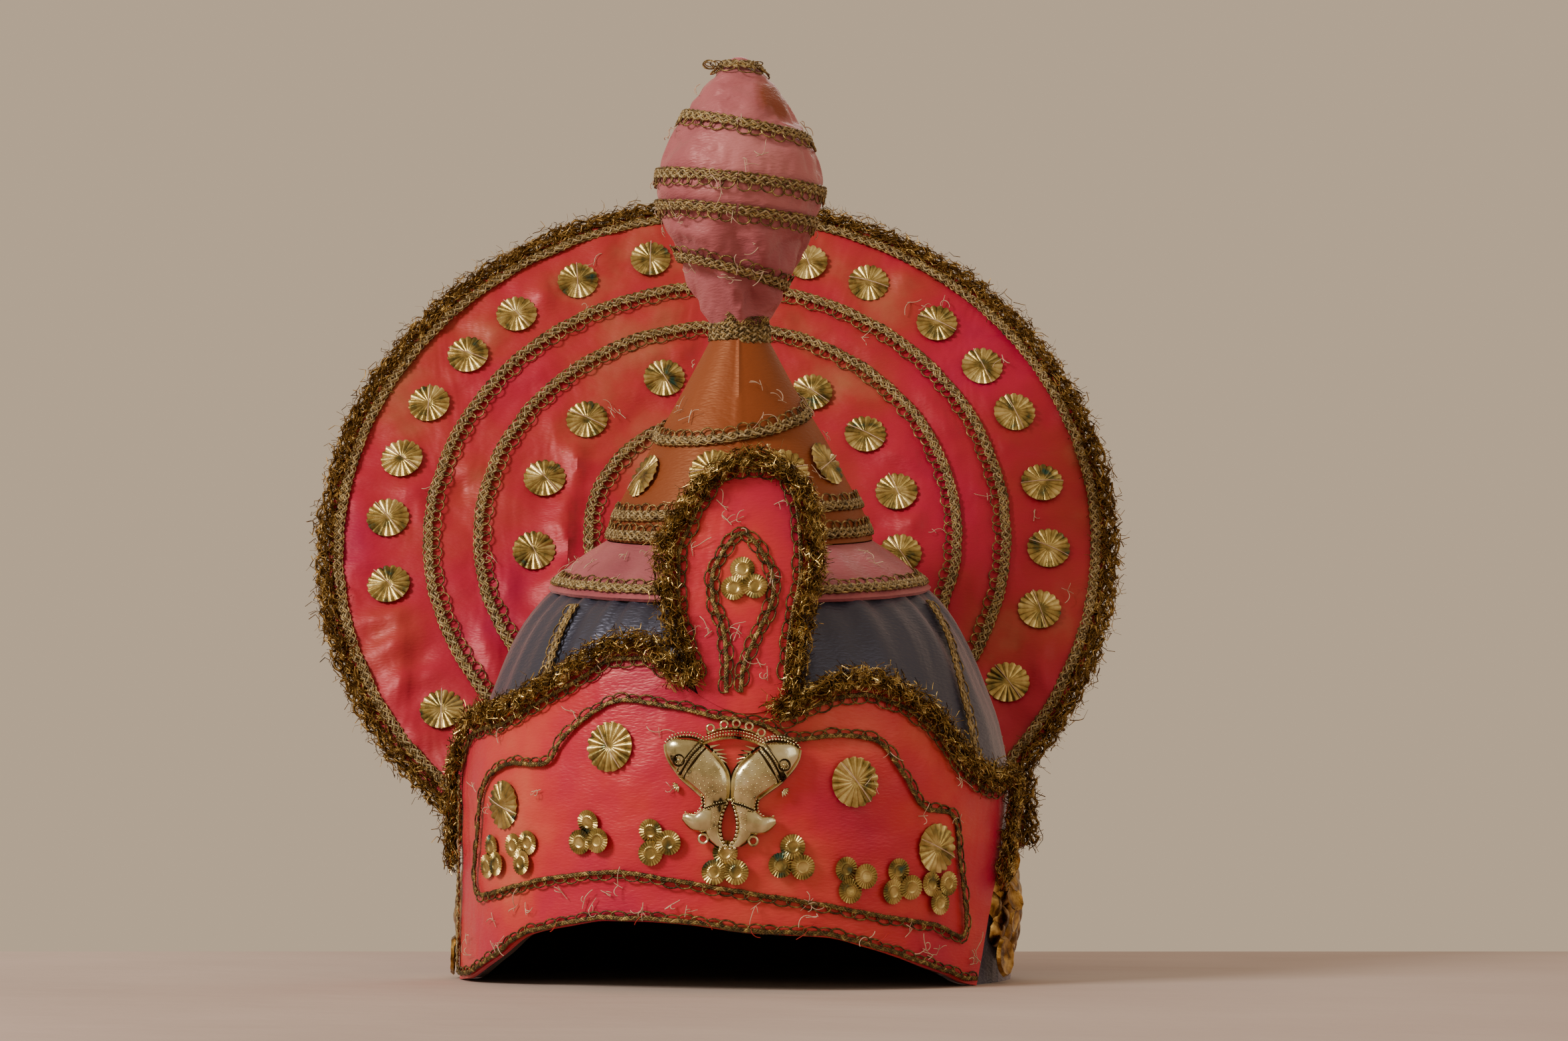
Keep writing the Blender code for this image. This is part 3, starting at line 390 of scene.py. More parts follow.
pale_gold = metal("pale_gold", (
    (0.30, 58, 50, 34), (0.35, 176, 162, 116), (0.52, 216, 204, 158), (0.70, 242, 236, 204),
), (0.10, 0.26), 0.15, 140.0)
# Dark metal for the fish: oxide in its hollows, and painted shade round its raised parts and in its
# grooves.
oxide_and_painted_shade = metal("tarnished_gold", ((0.30, 30, 22, 12), (0.70, 78, 60, 34)), (0.35, 0.6), 0.3)
copper_gold = metal("copper_gold", (
    (0.30, 74, 48, 20), (0.48, 150, 108, 50), (0.70, 222, 184, 110),
), (0.18, 0.38), 0.3, 220.0)
print("threads and metal ready")

# %% [markdown]
# ## Handing a piece over
# Each finished piece rides on the crown's one body, and the solids that it stands for are hidden.

# %% Hand over
def hand_over(obj, slot, *nodes, smooth=None):
    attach(obj, "root")
    if nodes:
        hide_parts(*nodes)
    if smooth is not None:
        pick_only(obj)
        bpy.ops.object.shade_smooth_by_angle(angle=math.radians(smooth))
    faces = sum(len(p.vertices) - 2 for p in obj.data.polygons)
    print(f"{obj.name}: {faces} triangles")
    return obj


def pick_only(obj):
    bpy.ops.object.select_all(action="DESELECT")
    obj.select_set(True)
    bpy.context.view_layer.objects.active = obj


def apply_all(obj):
    pick_only(obj)
    for modifier in list(obj.modifiers):
        bpy.ops.object.modifier_apply(modifier=modifier.name)


# %% [markdown]
# ## Cloth wrapped on a form
# A cover starts as a flat grid, as cloth does, and is then wrapped round its form: each point of
# the grid has two numbers, across and along the cloth, and goes to the place on the form that they
# name. Where the cloth closes on itself its edges are sewn, which here is a merge. Solidify gives
# the cloth and its card their thickness.

# %% Wrapping cloth
def mesh_points(obj):
    points = np.empty(len(obj.data.vertices) * 3)
    obj.data.vertices.foreach_get("co", points)
    return points.reshape(-1, 3)


def move_points(obj, points):
    obj.data.vertices.foreach_set("co", points.ravel())
    obj.data.update()


def thicken(obj, thickness, offset=-1.0):
    wall = obj.modifiers.new("wall", "SOLIDIFY")
    wall.thickness = thickness
    wall.offset = offset
    apply_all(obj)


def wrapped(name, columns, rows, place, finish, wall=None, sewn=False):
    """A grid whose points go to place(u, v), given as arrays, with u and v from 0 to 1."""
    bpy.ops.mesh.primitive_grid_add(x_subdivisions=columns, y_subdivisions=rows, size=1.0)
    obj = bpy.context.object
    obj.name = name
    flat = mesh_points(obj) + 0.5
    move_points(obj, place(flat[:, 0], flat[:, 1]))
    if sewn:
        bpy.ops.object.mode_set(mode="EDIT")
        bpy.ops.mesh.select_all(action="SELECT")
        bpy.ops.mesh.remove_doubles(threshold=0.00002)
        bpy.ops.object.mode_set(mode="OBJECT")
    if wall:
        thicken(obj, wall)
    obj.data.materials.append(finish)
    return obj


def ripple(points, scale, seed=0.0):
    """A soft noise from -1 to 1 at each point, for creases that no two renders change."""
    shift = Vector((seed, seed * 0.7, seed * 1.3))
    return np.array([noise.noise(Vector(p) * scale + shift) for p in points])


print("wrapping ready")

# %% [markdown]
# ## The cap
# The cap is blue-grey satin over a stiff form, gathered into soft pleats under the collar and cut
# away over the forehead, where the band's hem arches up. The grid runs round it once and from the
# hem to the crown. The pleats fade towards the hem, where the cloth is pulled tight.

# %% Cap
BAND_ROWS = (
    (-80, -80, 0.000, 0.580), (-70, -70, 0.010, 0.740), (-54, -54, 0.080, 0.790),
    (-44, -44, 0.150, 0.850), (-34, -34, 0.180, 0.925), (-25, -25, 0.200, 0.995),
    (-18, -18, 0.200, 1.000), (-9, -9, 0.193, 0.870), (2, 2, 0.170, 0.800),
    (10, 10, 0.162, 0.820), (17, 17, 0.155, 0.870), (25, 26, 0.125, 0.890),
    (33, 35, 0.090, 0.850), (39, 42, 0.060, 0.780), (45, 50, 0.035, 0.650),
    (50, 60, 0.010, 0.585), (54, 70, 0.000, 0.585),
)
hem_share = lookup(BAND_ROWS, 0, 2)
edge_share = lookup(BAND_ROWS, 1, 3)
HEM_CLEARANCE = 1.08
SHOULDER = 0.8


def cap_edge(azimuth):
    """The height at which the cap is cut away over the forehead, a little above the band's hem."""
    degrees = np.degrees((azimuth + math.pi) % (2 * math.pi) - math.pi)
    inside = (degrees > BAND_ROWS[0][0]) & (degrees < BAND_ROWS[-1][0])
    return np.where(inside, HEM_CLEARANCE * BAND_HEIGHT * hem_share(degrees), 0.0)


def cap_cloth(u, v):
    """The cap's satin; its rows below SHOULDER are on the side, the others under the collar."""
    azimuth = 2 * math.pi * u
    foot, top = cap_edge(azimuth), CAP_OUTLINE[-1][0] * COLLAR_FOOT
    below, above = np.minimum(v / SHOULDER, 1.0), np.maximum(v - SHOULDER, 0) / (1 - SHOULDER)
    height = foot + (COLLAR_FOOT - foot) * below + (top - COLLAR_FOOT) * above
    rough = on_crown(cap_radius, azimuth, height).point
    gather = np.clip((height - 0.055) / 0.085, 0, 1) ** 1.2
    wander = azimuth + 0.10 * np.sin(3.1 * azimuth + 1.0) + 0.4 * height
    pleats = np.sin(46 * wander) * 0.5 + np.sin(27 * wander + 1.3) * 0.5
    sag = 0.0009 * ripple(rough * [1.0, 1.0, 0.45], 44.0) * np.sin(math.pi * below)
    lift = 0.0010 * pleats * gather * (v < 0.99) + sag - 0.0003
    return on_crown(cap_radius, azimuth, height, lift).point


cap = wrapped("cap_satin", 208, 44, cap_cloth, blue_satin, wall=0.0023, sewn=True)
cap.data.materials.append(lining_cloth)


def line_inside(obj, centre, reach):
    """The faces that look inwards take the second finish, the lining."""
    for face in obj.data.polygons:
        from_middle = Vector(face.center) - Vector(centre)
        from_middle.z = 0 if face.center.z < reach else from_middle.z
        face.material_index = 1 if from_middle.dot(face.normal) < 0 else 0


line_inside(cap, AXIS, 0.12)
hand_over(cap, "blue_grey_satin", "dome_cap", smooth=50)

# %% [markdown]
# ## Collar and cone
# The collar is a short pink ring that covers the cap's gathers, and the cone is orange satin round
# a paper cone, with its seam at the back. Both are wrapped the same way as the cap.

# %% Collar and cone
def collar_cloth(u, v):
    azimuth = 2 * math.pi * u
    height = COLLAR_FOOT + COLLAR_HEIGHT * v
    lift = 0.0007 * np.sin(23 * azimuth + 4 * np.sin(2 * azimuth)) * np.sin(math.pi * v)
    return on_crown(collar_radius, azimuth, height, lift).point


collar = wrapped("collar_satin", 144, 10, collar_cloth, pink_satin, wall=0.0014, sewn=True)
hand_over(collar, "pink_satin", "pink_collar", smooth=50)


def cone_cloth(u, v):
    azimuth = 2 * math.pi * u + math.pi
    height = CONE_FOOT + CONE_HEIGHT * v
    rough = on_crown(cone_radius, azimuth, height).point
    seam = np.exp(-((u - 0.5) * 2 - np.sign(u - 0.5)) ** 2 / 0.0009)
    lift = 0.0005 * ripple(rough, 45.0, 3.0) + 0.0006 * seam
    return on_crown(cone_radius, azimuth, height, lift).point


cone = wrapped("cone_satin", 100, 28, cone_cloth, orange_satin, wall=0.0015, sewn=True)
hand_over(cone, "orange_satin", "orange_cone", smooth=50)

# %% [markdown]
# ## Spindle
# The finial is a stuffed bag: two cones of pink satin sewn base to base, tied at the neck. The
# wrapped grid gets folds towards the neck and is remeshed into even cells. A cloth simulation then
# blows it up a little, while the places under the rings of braid are held, as sewing holds them.
# The cloth is a few percent larger than the form, so it puckers beside each ring.

# %% Spindle
SPINDLE_RINGS = {
    "spindle_lower_braid": (0.230, -0.055),
    "spindle_waist_lower": (0.425, -0.033),
    "spindle_waist_upper": (0.535, -0.033),
    "spindle_upper_braid": (0.735, -0.045),
    "tip_braid": (0.955, -0.004),
}


def spindle_cloth(u, v):
    azimuth = 2 * math.pi * u
    height = SPINDLE_FOOT + SPINDLE_HEIGHT * v
    rough = on_crown(spindle_radius, azimuth, height).point
    tied = np.zeros_like(v)
    for share, tilt in SPINDLE_RINGS.values():
        tied = np.maximum(tied, np.exp(-((v - share - tilt * np.sin(azimuth)) / 0.045) ** 2))
    swell = 0.0003 * (1 - tied)
    low = np.clip((0.42 - v) / 0.10, 0, 1) * np.clip(v / 0.09, 0, 1)
    wave = np.sin(5 * azimuth + 16 * v + 1.4 * np.sin(3 * azimuth))
    folds = 0.0024 * low * (1 - 0.8 * tied) * wave
    crease = 0.0007 * ripple(rough, 60.0, 7.0) * (1 - tied)
    return on_crown(spindle_radius, azimuth, height, swell + folds + crease - 0.0006).point


def outward(obj):
    """Turns the faces of a closed mesh outwards."""
    pick_only(obj)
    bpy.ops.object.mode_set(mode="EDIT")
    bpy.ops.mesh.select_all(action="SELECT")
    bpy.ops.mesh.normals_make_consistent(inside=False)
    bpy.ops.object.mode_set(mode="OBJECT")


spindle = wrapped("spindle_satin", 144, 120, spindle_cloth, pink_satin, sewn=True)
pick_only(spindle)
bpy.ops.object.mode_set(mode="EDIT")
bpy.ops.mesh.select_all(action="DESELECT")
bpy.ops.mesh.select_non_manifold()
bpy.ops.mesh.edge_face_add()
bpy.ops.object.mode_set(mode="OBJECT")
outward(spindle)


def stuffed(obj, held, farthest, cell=0.0021, spare=0.07, frames=20):
    """Blows a closed bag up with a cloth simulation; held tells which points are sewn down."""
    remesh = obj.modifiers.new("cells", "REMESH")
    remesh.mode = "VOXEL"
    remesh.voxel_size = cell
    apply_all(obj)
    before = mesh_points(obj)
    group = obj.vertex_groups.new(name="sewn")
    for index in np.nonzero(held(before))[0]:
        group.add([int(index)], 1.0, "REPLACE")
    cloth = obj.modifiers.new("stuffing", "CLOTH").settings
    cloth.quality = 5
    cloth.mass = 0.01
    cloth.use_pressure = True
    cloth.uniform_pressure_force = 6.0
    cloth.shrink_min = -spare
    cloth.tension_stiffness = cloth.compression_stiffness = cloth.shear_stiffness = 5.0
    cloth.bending_stiffness = 0.05
    cloth.effector_weights.gravity = 0.0
    cloth.vertex_group_mass = "sewn"
    for frame_number in range(1, frames + 1):
        bpy.context.scene.frame_set(frame_number)
    apply_all(obj)
    bpy.context.scene.frame_set(1)
    moved = mesh_points(obj) - before
    far = np.linalg.norm(moved, axis=1)
    print("stuffing moved the cloth by", round(float(far.max()) * 1000, 2), "mm at most")
    settled = before + moved * np.minimum(1.0, farthest / np.maximum(far, 1e-9))[:, None]
    move_points(obj, settled)
    obj.vertex_groups.clear()
    finer = obj.modifiers.new("finer", "SUBSURF")
    finer.levels = finer.render_levels = 1
    apply_all(obj)


NECK_REACH = 0.0093


def under_braid(points):
    """True where a ring of braid, or the wrap at the neck, holds the spindle's cloth."""
    lean = np.array([0.0, -math.sin(CROWN_LEAN), math.cos(CROWN_LEAN)])
    back = np.array([0.0, math.cos(CROWN_LEAN), math.sin(CROWN_LEAN)])
    away = points - on_crown(spindle_radius, 0.0, SPINDLE_FOOT, -NECK_REACH).point
    share = away @ lean / SPINDLE_HEIGHT
    azimuth = np.arctan2(away @ RIGHT, -away @ back)
    held = share < 0.05
    for ring_share, tilt in SPINDLE_RINGS.values():
        held |= np.abs(share - ring_share - tilt * np.sin(azimuth)) < 0.018
    return held


stuffed(spindle, under_braid, 0.0009)
hand_over(spindle, "pink_satin", "finial_spindle", smooth=60)

# %% [markdown]
# ## Halo
# The halo is card covered with crimson satin, whose creases run out from the middle where the
# cloth was pulled over the edge. A flat grid is dented with noise, given its thickness, and cut to
# the outline with two Booleans: one keeps what is inside a template, the other takes away the cap.

# %% Halo
FOOT_REACH = CAP_RADIUS + 0.007
FOOT_DROP = 0.132
HALO_ARCHES = {"halo_outer_braid": 0.740, "halo_inner_braid": 0.613, "halo_core_braid": 0.330}
OUTER_DISCS = (
    -127, -101, -88, -76, -64, -52, -40, -27, -13, 2, 16, 28, 43, 55, 66, 81, 94, 106, 121
)
INNER_DISCS = (-98, -72, -47, -18, 6, 31, 54, 77, 99)
FIELD = ((0.852, OUTER_DISCS), (0.475, INNER_DISCS))
field_radius = np.concatenate([[share * HALO_RADIUS] * len(row) for share, row in FIELD])
field_angle = np.radians(np.array(OUTER_DISCS + INNER_DISCS, float))
HALO_FOLDS = (
    (-0.062, -0.040, -0.055, 0.048, 0.0024), (-0.118, -0.075, -0.124, -0.030, 0.0016),
    (-0.128, 0.012, -0.092, 0.030, 0.0012), (-0.095, 0.085, -0.060, 0.120, 0.0014),
    (-0.030, 0.098, 0.004, 0.108, 0.0012), (0.035, 0.092, 0.066, 0.076, 0.0016),
    (0.052, 0.040, 0.082, 0.028, 0.0016), (0.074, -0.020, 0.080, 0.020, 0.0018),
    (0.112, 0.030, 0.124, 0.070, 0.0014), (0.122, -0.070, 0.130, -0.020, 0.0016),
    (-0.086, -0.060, -0.080, -0.016, 0.0016), (-0.030, 0.060, -0.012, 0.088, 0.0014),
)
HALO_CLOTH = 0.32


def halo_outline(grow, steps):
    """The board's outline, grown by a margin, from its left foot over the top to its right foot."""
    left, right = FOOT_REACH + grow - HALO_ASIDE, FOOT_REACH + grow + HALO_ASIDE
    radius = HALO_RADIUS + grow
    start = math.asin(min(left / radius, 1.0)) - math.pi
    end = math.pi - math.asin(min(right / radius, 1.0))
    arc = [(radius * math.sin(a), radius * math.cos(a)) for a in np.linspace(start, end, steps + 1)]
    return [(-left, -FOOT_DROP), *arc, (right, -FOOT_DROP)]


def held_down(x, y):
    """From 0, under a braid or a disc that is sewn down, to 1 between them."""
    free = np.ones_like(x)
    for share in HALO_ARCHES.values():
        free = np.minimum(free, (np.abs(np.hypot(x, y) - share * HALO_RADIUS) - 0.0030) / 0.007)
    for radius, angle in zip(field_radius, field_angle):
        away = np.hypot(x - radius * math.sin(angle), y - radius * math.cos(angle))
        free = np.minimum(free, (away - 0.0085) / 0.006)
    return np.clip(free, 0, 1)


def folds(x, y):
    """Soft folds from (x0, y0) to (x1, y1), steeper on one flank, as a fold that leans over is."""
    lift = np.zeros_like(x)
    for x0, y0, x1, y1, high in HALO_FOLDS:
        long = math.hypot(x1 - x0, y1 - y0)
        dx, dy = (x1 - x0) / long, (y1 - y0) / long
        along = ((x - x0) * dx + (y - y0) * dy) / long
        aside = (x - x0) * dy - (y - y0) * dx
        flank = np.where(aside > 0, 0.0034, 0.0085)
        ends = np.clip(np.minimum(along, 1 - along) * 4 + 0.3, 0, 1)
        lift += 1.5 * high * np.exp(-((aside / flank) ** 2)) * ends
    return lift


def halo_cloth(u, v):
    x, y = (u - 0.5) * HALO_CLOTH, (v - 0.5) * HALO_CLOTH
    radius, angle, zero = np.hypot(x, y), np.arctan2(x, y), np.zeros_like(x)
    rays = np.stack([angle * 2.2, radius * 9, zero], -1)
    pull = ripple(rays * 3.0, 1.0, 5.0) * np.clip(radius / HALO_RADIUS, 0, 1)
    soft = ripple(np.stack([x, y, zero], -1), 34.0, 2.0)
    fine = ripple(np.stack([x, y * 2.2, zero], -1), 62.0, 8.0)
    tucks = ripple(np.stack([angle * 18, radius * 14, zero], -1), 1.0, 6.0)
    tucks = tucks * np.clip((radius - 0.116) / 0.02, 0, 1)
    edge = np.clip((HALO_RADIUS - radius) / 0.012, 0, 1)
    slack = 0.0015 * pull + 0.0022 * soft + 0.0015 * fine + 0.0016 * tucks + folds(x, y)
    return on_halo(x, y, slack * edge * (0.12 + 0.88 * held_down(x, y)) - 0.0005).point


def new_object(name, points, faces, finish=None):
    mesh = bpy.data.meshes.new(name)
    mesh.from_pydata(points, [], faces)
    mesh.update()
    if finish:
        mesh.materials.append(finish)
    obj = bpy.data.objects.new(name, mesh)
    bpy.context.scene.collection.objects.link(obj)
    return obj


def template(name, rings):
    """A closed cutter, skinned over rings of points."""
    count = len(rings[0])
    points = np.concatenate([np.asarray(ring) for ring in rings])
    last = len(points) - count
    faces = [tuple(range(count - 1, -1, -1)), tuple(range(last, len(points)))]
    for foot in range(0, last, count):
        for i in range(foot, foot + count):
            j = foot + (i + 1 - foot) % count
            faces.append((i, j, j + count, i + count))
    cutter = new_object(name, points, faces)
    outward(cutter)
    return cutter


halo = wrapped("halo_satin", 132, 132, halo_cloth, red_satin, wall=HALO_THICKNESS - 0.0002)
outline = halo_outline(0.0, 140)
board = template("board_template", [
    [on_halo(u, v, lift).point for u, v in outline] for lift in (-0.006, 0.004)
])
around = np.linspace(0, 2 * math.pi, 96, endpoint=False)
surfaces = [(cap_radius, h) for h in (-0.002, *np.linspace(0.01, COLLAR_FOOT, 14))]
surfaces += [(collar_radius, h) for h in (0.1415, 0.150, 0.160)]
core = template("cap_template", [
    on_crown(radius_at, around, np.full(96, h), 0.0006).point for radius_at, h in surfaces
])
for cutter, operation in ((board, "INTERSECT"), (core, "DIFFERENCE")):
    cut = halo.modifiers.new(operation.lower(), "BOOLEAN")
    cut.operation = operation
    cut.object = cutter
apply_all(halo)
for cutter in (board, core):
    bpy.data.objects.remove(cutter, do_unlink=True)
hand_over(halo, "red_satin", "halo_panel", smooth=50)

# %% [markdown]
# ## Band and plaque
# The frontlet is one stiff band with two humps, and a leaf-shaped plaque that stands up from its
# middle. Each is a grid wrapped on the same curved form, with its own row of edges.

# %% Band and plaque
def by_row(rows, count=1200):
    """One curve for each column of a table, read by row number."""
    numbered = [(number, *row) for number, row in enumerate(rows)]
    return [lookup(numbered, 0, column, count) for column in range(1, len(numbered[0]))]


band_foot, band_top, band_hem, band_edge = by_row(BAND_ROWS)


def band_place(u, v, lift=0.0):
    """A place on the band: u along it from its left end, v from its hem to its top edge."""
    where = np.asarray(u, float) * (len(BAND_ROWS) - 1)
    foot, top = np.radians(band_foot(where)), np.radians(band_top(where))
    low, high = band_hem(where) * BAND_HEIGHT, band_edge(where) * BAND_HEIGHT
    return on_crown(frontlet_radius, foot + (top - foot) * v, low + (high - low) * v, lift)


def band_cloth(u, v):
    rough = band_place(u, v).point
    flat = np.clip(np.minimum(v, 1 - v) / 0.12, 0, 1)
    slack = 0.0009 * ripple(rough, 30.0, 11.0)
    slack += 0.00035 * ripple(rough * [1.0, 1.0, 2.2], 85.0, 12.0)
    return band_place(u, v, slack * flat - 0.0002).point


band = wrapped("band_satin", 150, 46, band_cloth, band_satin, wall=0.0019)
hand_over(band, "red_satin", "front_band", smooth=50)

PLAQUE_ROWS = (
    (0.00, -0.25, 0.38), (0.17, -0.37, 0.41), (0.36, -0.47, 0.46), (0.55, -0.48, 0.53),
    (0.75, -0.37, 0.51), (0.92, -0.18, 0.39), (1.00, 0.08, 0.20),
)
plaque_left, plaque_right = lookup(PLAQUE_ROWS, 0, 1), lookup(PLAQUE_ROWS, 0, 2)


def plaque_place(side, rise, lift=0.0):
    """A place on the plaque: side from 0, left, to 1, right, and rise from its foot to its tip."""
    left, right = plaque_left(rise) * PLAQUE_WIDTH, plaque_right(rise) * PLAQUE_WIDTH
    across = left + side * (right - left)
    foot_angle = np.degrees(across / frontlet_radius(BAND_HEIGHT * 0.8))
    foot = BAND_HEIGHT * edge_share(foot_angle) + 0.0001
    height = foot + rise * (PLAQUE_TOP - foot)
    return on_crown(frontlet_radius, across / frontlet_radius(height), height, lift)


def plaque_cloth(u, v):
    rough = plaque_place(u, v).point
    return plaque_place(u, v, 0.0003 * ripple(rough, 60.0, 17.0) + 0.0002).point


plaque = wrapped("plaque_satin", 28, 42, plaque_cloth, band_satin, wall=0.0019)
hand_over(plaque, "red_satin", "front_plaque", smooth=50)

# %% [markdown]
# ## Braid
# Gimp braid is plaited from a few yarns, with one more yarn looped along its edge. Each yarn is a
# curve with a round bevel, which follows the braid's route and sways across it. All yarns of one
# braid are splines of one curve, which is then turned into a mesh. The routes sway a little too, as
# a hand-sewn trim does.

# %% Routes
Route = namedtuple("Route", "point side out along closed")


def make_route(places, closed=False, sway=0.0003, seed=1.0):
    """A route with its directions and the distance along it."""
    point = places.point
    nearby = np.roll(point, -1, 0) - np.roll(point, 1, 0)
    if not closed:
        nearby[0], nearby[-1] = point[1] - point[0], point[-1] - point[-2]
    side = unit(np.cross(places.out, unit(nearby)))
    point = point + side * (sway * ripple(point, 120.0, seed))[:, None]
    if closed:
        point, side = np.vstack([point, point[:1]]), np.vstack([side, side[:1]])
    out = np.vstack([places.out, places.out[:1]]) if closed else places.out
    steps = np.linalg.norm(np.diff(point, axis=0), axis=1)
    return Route(point, side, out, np.concatenate([[0.0], np.cumsum(steps)]), closed)


def at_route(route, along):
    """The route's points, side directions and outward directions at distances along it."""
    return [
        np.stack([np.interp(along, route.along, rows[:, k]) for k in range(3)], -1)
        for rows in (route.point, route.side, route.out)
    ]


def off_route(route, along, sideways, lift):
    """Points at distances along a route, moved sideways and off the cloth."""
    if route.closed:
        along = np.mod(along, route.along[-1])
    point, side, out = at_route(route, along)
    sideways, lift = (np.broadcast_to(far, along.shape)[:, None] for far in (sideways, lift))
    return point + side * sideways + out * lift


def smooth_line(stops, steps, closed=False):
    """A smooth line through stops, with so many steps from each stop to the next."""
    total = len(stops)
    fine = []
    for i in range(total if closed else total - 1):
        near = (k % total if closed else min(max(k, 0), total - 1) for k in range(i - 1, i + 3))
        a, b, c, d = (stops[k] for k in near)
        for t in np.arange(steps) / steps:
            bend = (2 * a - 5 * b + 4 * c - d) * t**2 + (3 * b - a - 3 * c + d) * t**3
            fine.append(b + 0.5 * ((c - a) * t + bend))
    return np.array(fine + [stops[0] if closed else stops[-1]])


def even_spots(line, count=None, gap=None, closed=False):
    """Evenly spaced spots along a line: so many of them, or about a gap apart."""
    far = np.concatenate([[0.0], np.cumsum(np.linalg.norm(np.diff(line, axis=0), axis=1))])
    count = count or max(int(far[-1] / gap), 2)
    goal = np.linspace(0, far[-1], count, endpoint=not closed)
    return np.stack([np.interp(goal, far, column) for column in line.T], -1)


def smooth_stops(stops, span, count, closed=False):
    """Azimuths and heights along a line through stops given in degrees and in shares of span."""
    stops = np.array(stops, float) * [math.radians(1) * CAP_RADIUS, span]
    flat = even_spots(smooth_line(stops, 12, closed), count, closed=closed)
    return flat[:, 0] / CAP_RADIUS, flat[:, 1]

# %% [markdown]
# ## Yarns
# A plaited core is made of yarns that sway in turn, and the loops are one yarn that goes round
# and round as it runs along. Two kinds of braid come from these: a wide one and a narrow one.

# %% Yarns
Yarn = namedtuple("Yarn", "points radius finish")


def yarns_to_mesh(name, yarns, finishes):
    """One mesh from yarns, each swept round its own line by a curve's bevel."""
    curve = bpy.data.curves.new(name, "CURVE")
    curve.dimensions = "3D"
    curve.bevel_depth = 0.001
    curve.bevel_resolution = 0
    curve.use_fill_caps = True
    for finish in finishes:
        curve.materials.append(finish)
    for yarn in yarns:
        spline = curve.splines.new("POLY")
        spline.points.add(len(yarn.points) - 1)
        rows = np.hstack([yarn.points, np.ones((len(yarn.points), 1))])
        radius = np.broadcast_to(np.asarray(yarn.radius) * 1000, len(rows)).astype(float)
        spline.points.foreach_set("co", rows.ravel())
        spline.points.foreach_set("radius", radius)
        spline.material_index = yarn.finish
        spline.use_smooth = True
    obj = bpy.data.objects.new(name, curve)
    bpy.context.scene.collection.objects.link(obj)
    pick_only(obj)
    bpy.ops.object.convert(target="MESH")
    return bpy.context.object


CREAM, GOLD, DARK = 0, 1, 2
LOOP_STEPS = 10
YARN_STEP = 0.00095
THREADS = (cream_thread, gold_thread, dark_thread)


def sew_on(name, yarns, *nodes, finishes=THREADS, slot="gold_braid"):
    """Hands yarns over as one piece."""
    return hand_over(yarns_to_mesh(name, yarns, finishes), slot, *nodes)


def plaited(route, half, pitch, thick, finishes=(CREAM, GOLD, GOLD), shift=0.0):
    """Yarns that sway across the route, each a third of a turn behind the last."""
    along = np.arange(0.0, route.along[-1], YARN_STEP)
    made = []
    for k, finish in enumerate(finishes):
        turn = 2 * math.pi * (along / pitch + k / 3)
        lift = thick * (1.1 + 0.6 * np.sin(2 * turn))
        made.append(Yarn(off_route(route, along, shift + half * np.sin(turn), lift), thick, finish))
    return made


def looped(route, edge, reach, pitch, thick, side, finish=GOLD, phase=0.0, width=0.9):
    """One yarn thrown into a row of round loops beside the braid's core."""
    count = max(int(route.along[-1] / pitch), 1)
    turn = np.arange(0, count * LOOP_STEPS + 1) * (2 * math.pi / LOOP_STEPS)
    size = reach / 2 * (1 + 0.16 * np.sin(turn * 0.37 + phase * 5))
    along = pitch * (turn / (2 * math.pi) + phase) - width * size * np.sin(turn)
    across = side * (edge + size * (1 - np.cos(turn)))
    lift = thick * (1.2 + 0.7 * np.sin(turn / 2))
    return Yarn(off_route(route, np.clip(along, 0, route.along[-1]), across, lift), thick, finish)


def gimp(name, route, loop_side, nodes=(), half=0.0008, reach=0.0035):
    """The wide braid: rows of plaited yarn with a gold line beside them and a row of thin loops."""
    yarns = plaited(route, half, 0.0042, 0.00048, (CREAM, GOLD), shift=-loop_side * 0.0010)
    yarns += plaited(route, half, 0.0038, 0.00044, (GOLD, CREAM), shift=loop_side * 0.0005)
    yarns += plaited(route, 0.0003, 0.0030, 0.00040, (GOLD,), shift=-loop_side * 0.0022)
    if reach:
        yarns.append(looped(route, 0.0008, reach, 0.0042, 0.00032, loop_side))
    return sew_on(name, yarns, *nodes)


def picot(name, route, sides, nodes=(), reach=0.0020):
    """The narrow braid: three tight yarns with small curls of yarn on one side or both."""
    yarns = plaited(route, 0.0006, 0.0034, 0.00044, (GOLD, DARK, DARK))
    for k, side in enumerate(sides):
        yarns.append(looped(route, 0.0003, reach, 0.0046, 0.00032, side, DARK, 0.5 * k, 1.5))
    return sew_on(name, yarns, *nodes)


print("braid ready")

# %% [markdown]
# ## Braids on the halo
# One line of braid follows the rim and three arches run inside it, down to where the cap hides
# them.

# %% Halo braids
SEAT = 0.0004


def clear_of_cap(angle, radius):
    """The stretch of an arch that stays outside the cap."""
    point = halo_turn(np.full_like(angle, radius), angle).point - AXIS
    grown = np.where(point[:, 2] < COLLAR_FOOT, cap_radius(point[:, 2] + 0.008) + 0.0035, 0.0)
    centre_y = -0.08 * (point[:, 2] / COLLAR_FOOT) ** 2 * 0.139
    return np.hypot(point[:, 0], point[:, 1] - centre_y) > grown


for name, share in HALO_ARCHES.items():
    radius = share * HALO_RADIUS
    angle = np.linspace(-math.radians(150), math.radians(150), 500)
    angle = angle[clear_of_cap(angle, radius)]
    arch = halo_turn(np.full_like(angle, radius), angle, SEAT)
    gimp(name + "_yarns", make_route(arch, sway=0.0006, seed=share * 9), -1, nodes=(name,))

rim = make_route(on_halo(*np.array(halo_outline(-0.0036, 400)).T, SEAT), sway=0.0005)
gimp("halo_rim_yarns", rim, 1, nodes=("halo_rim_braid",), reach=0)

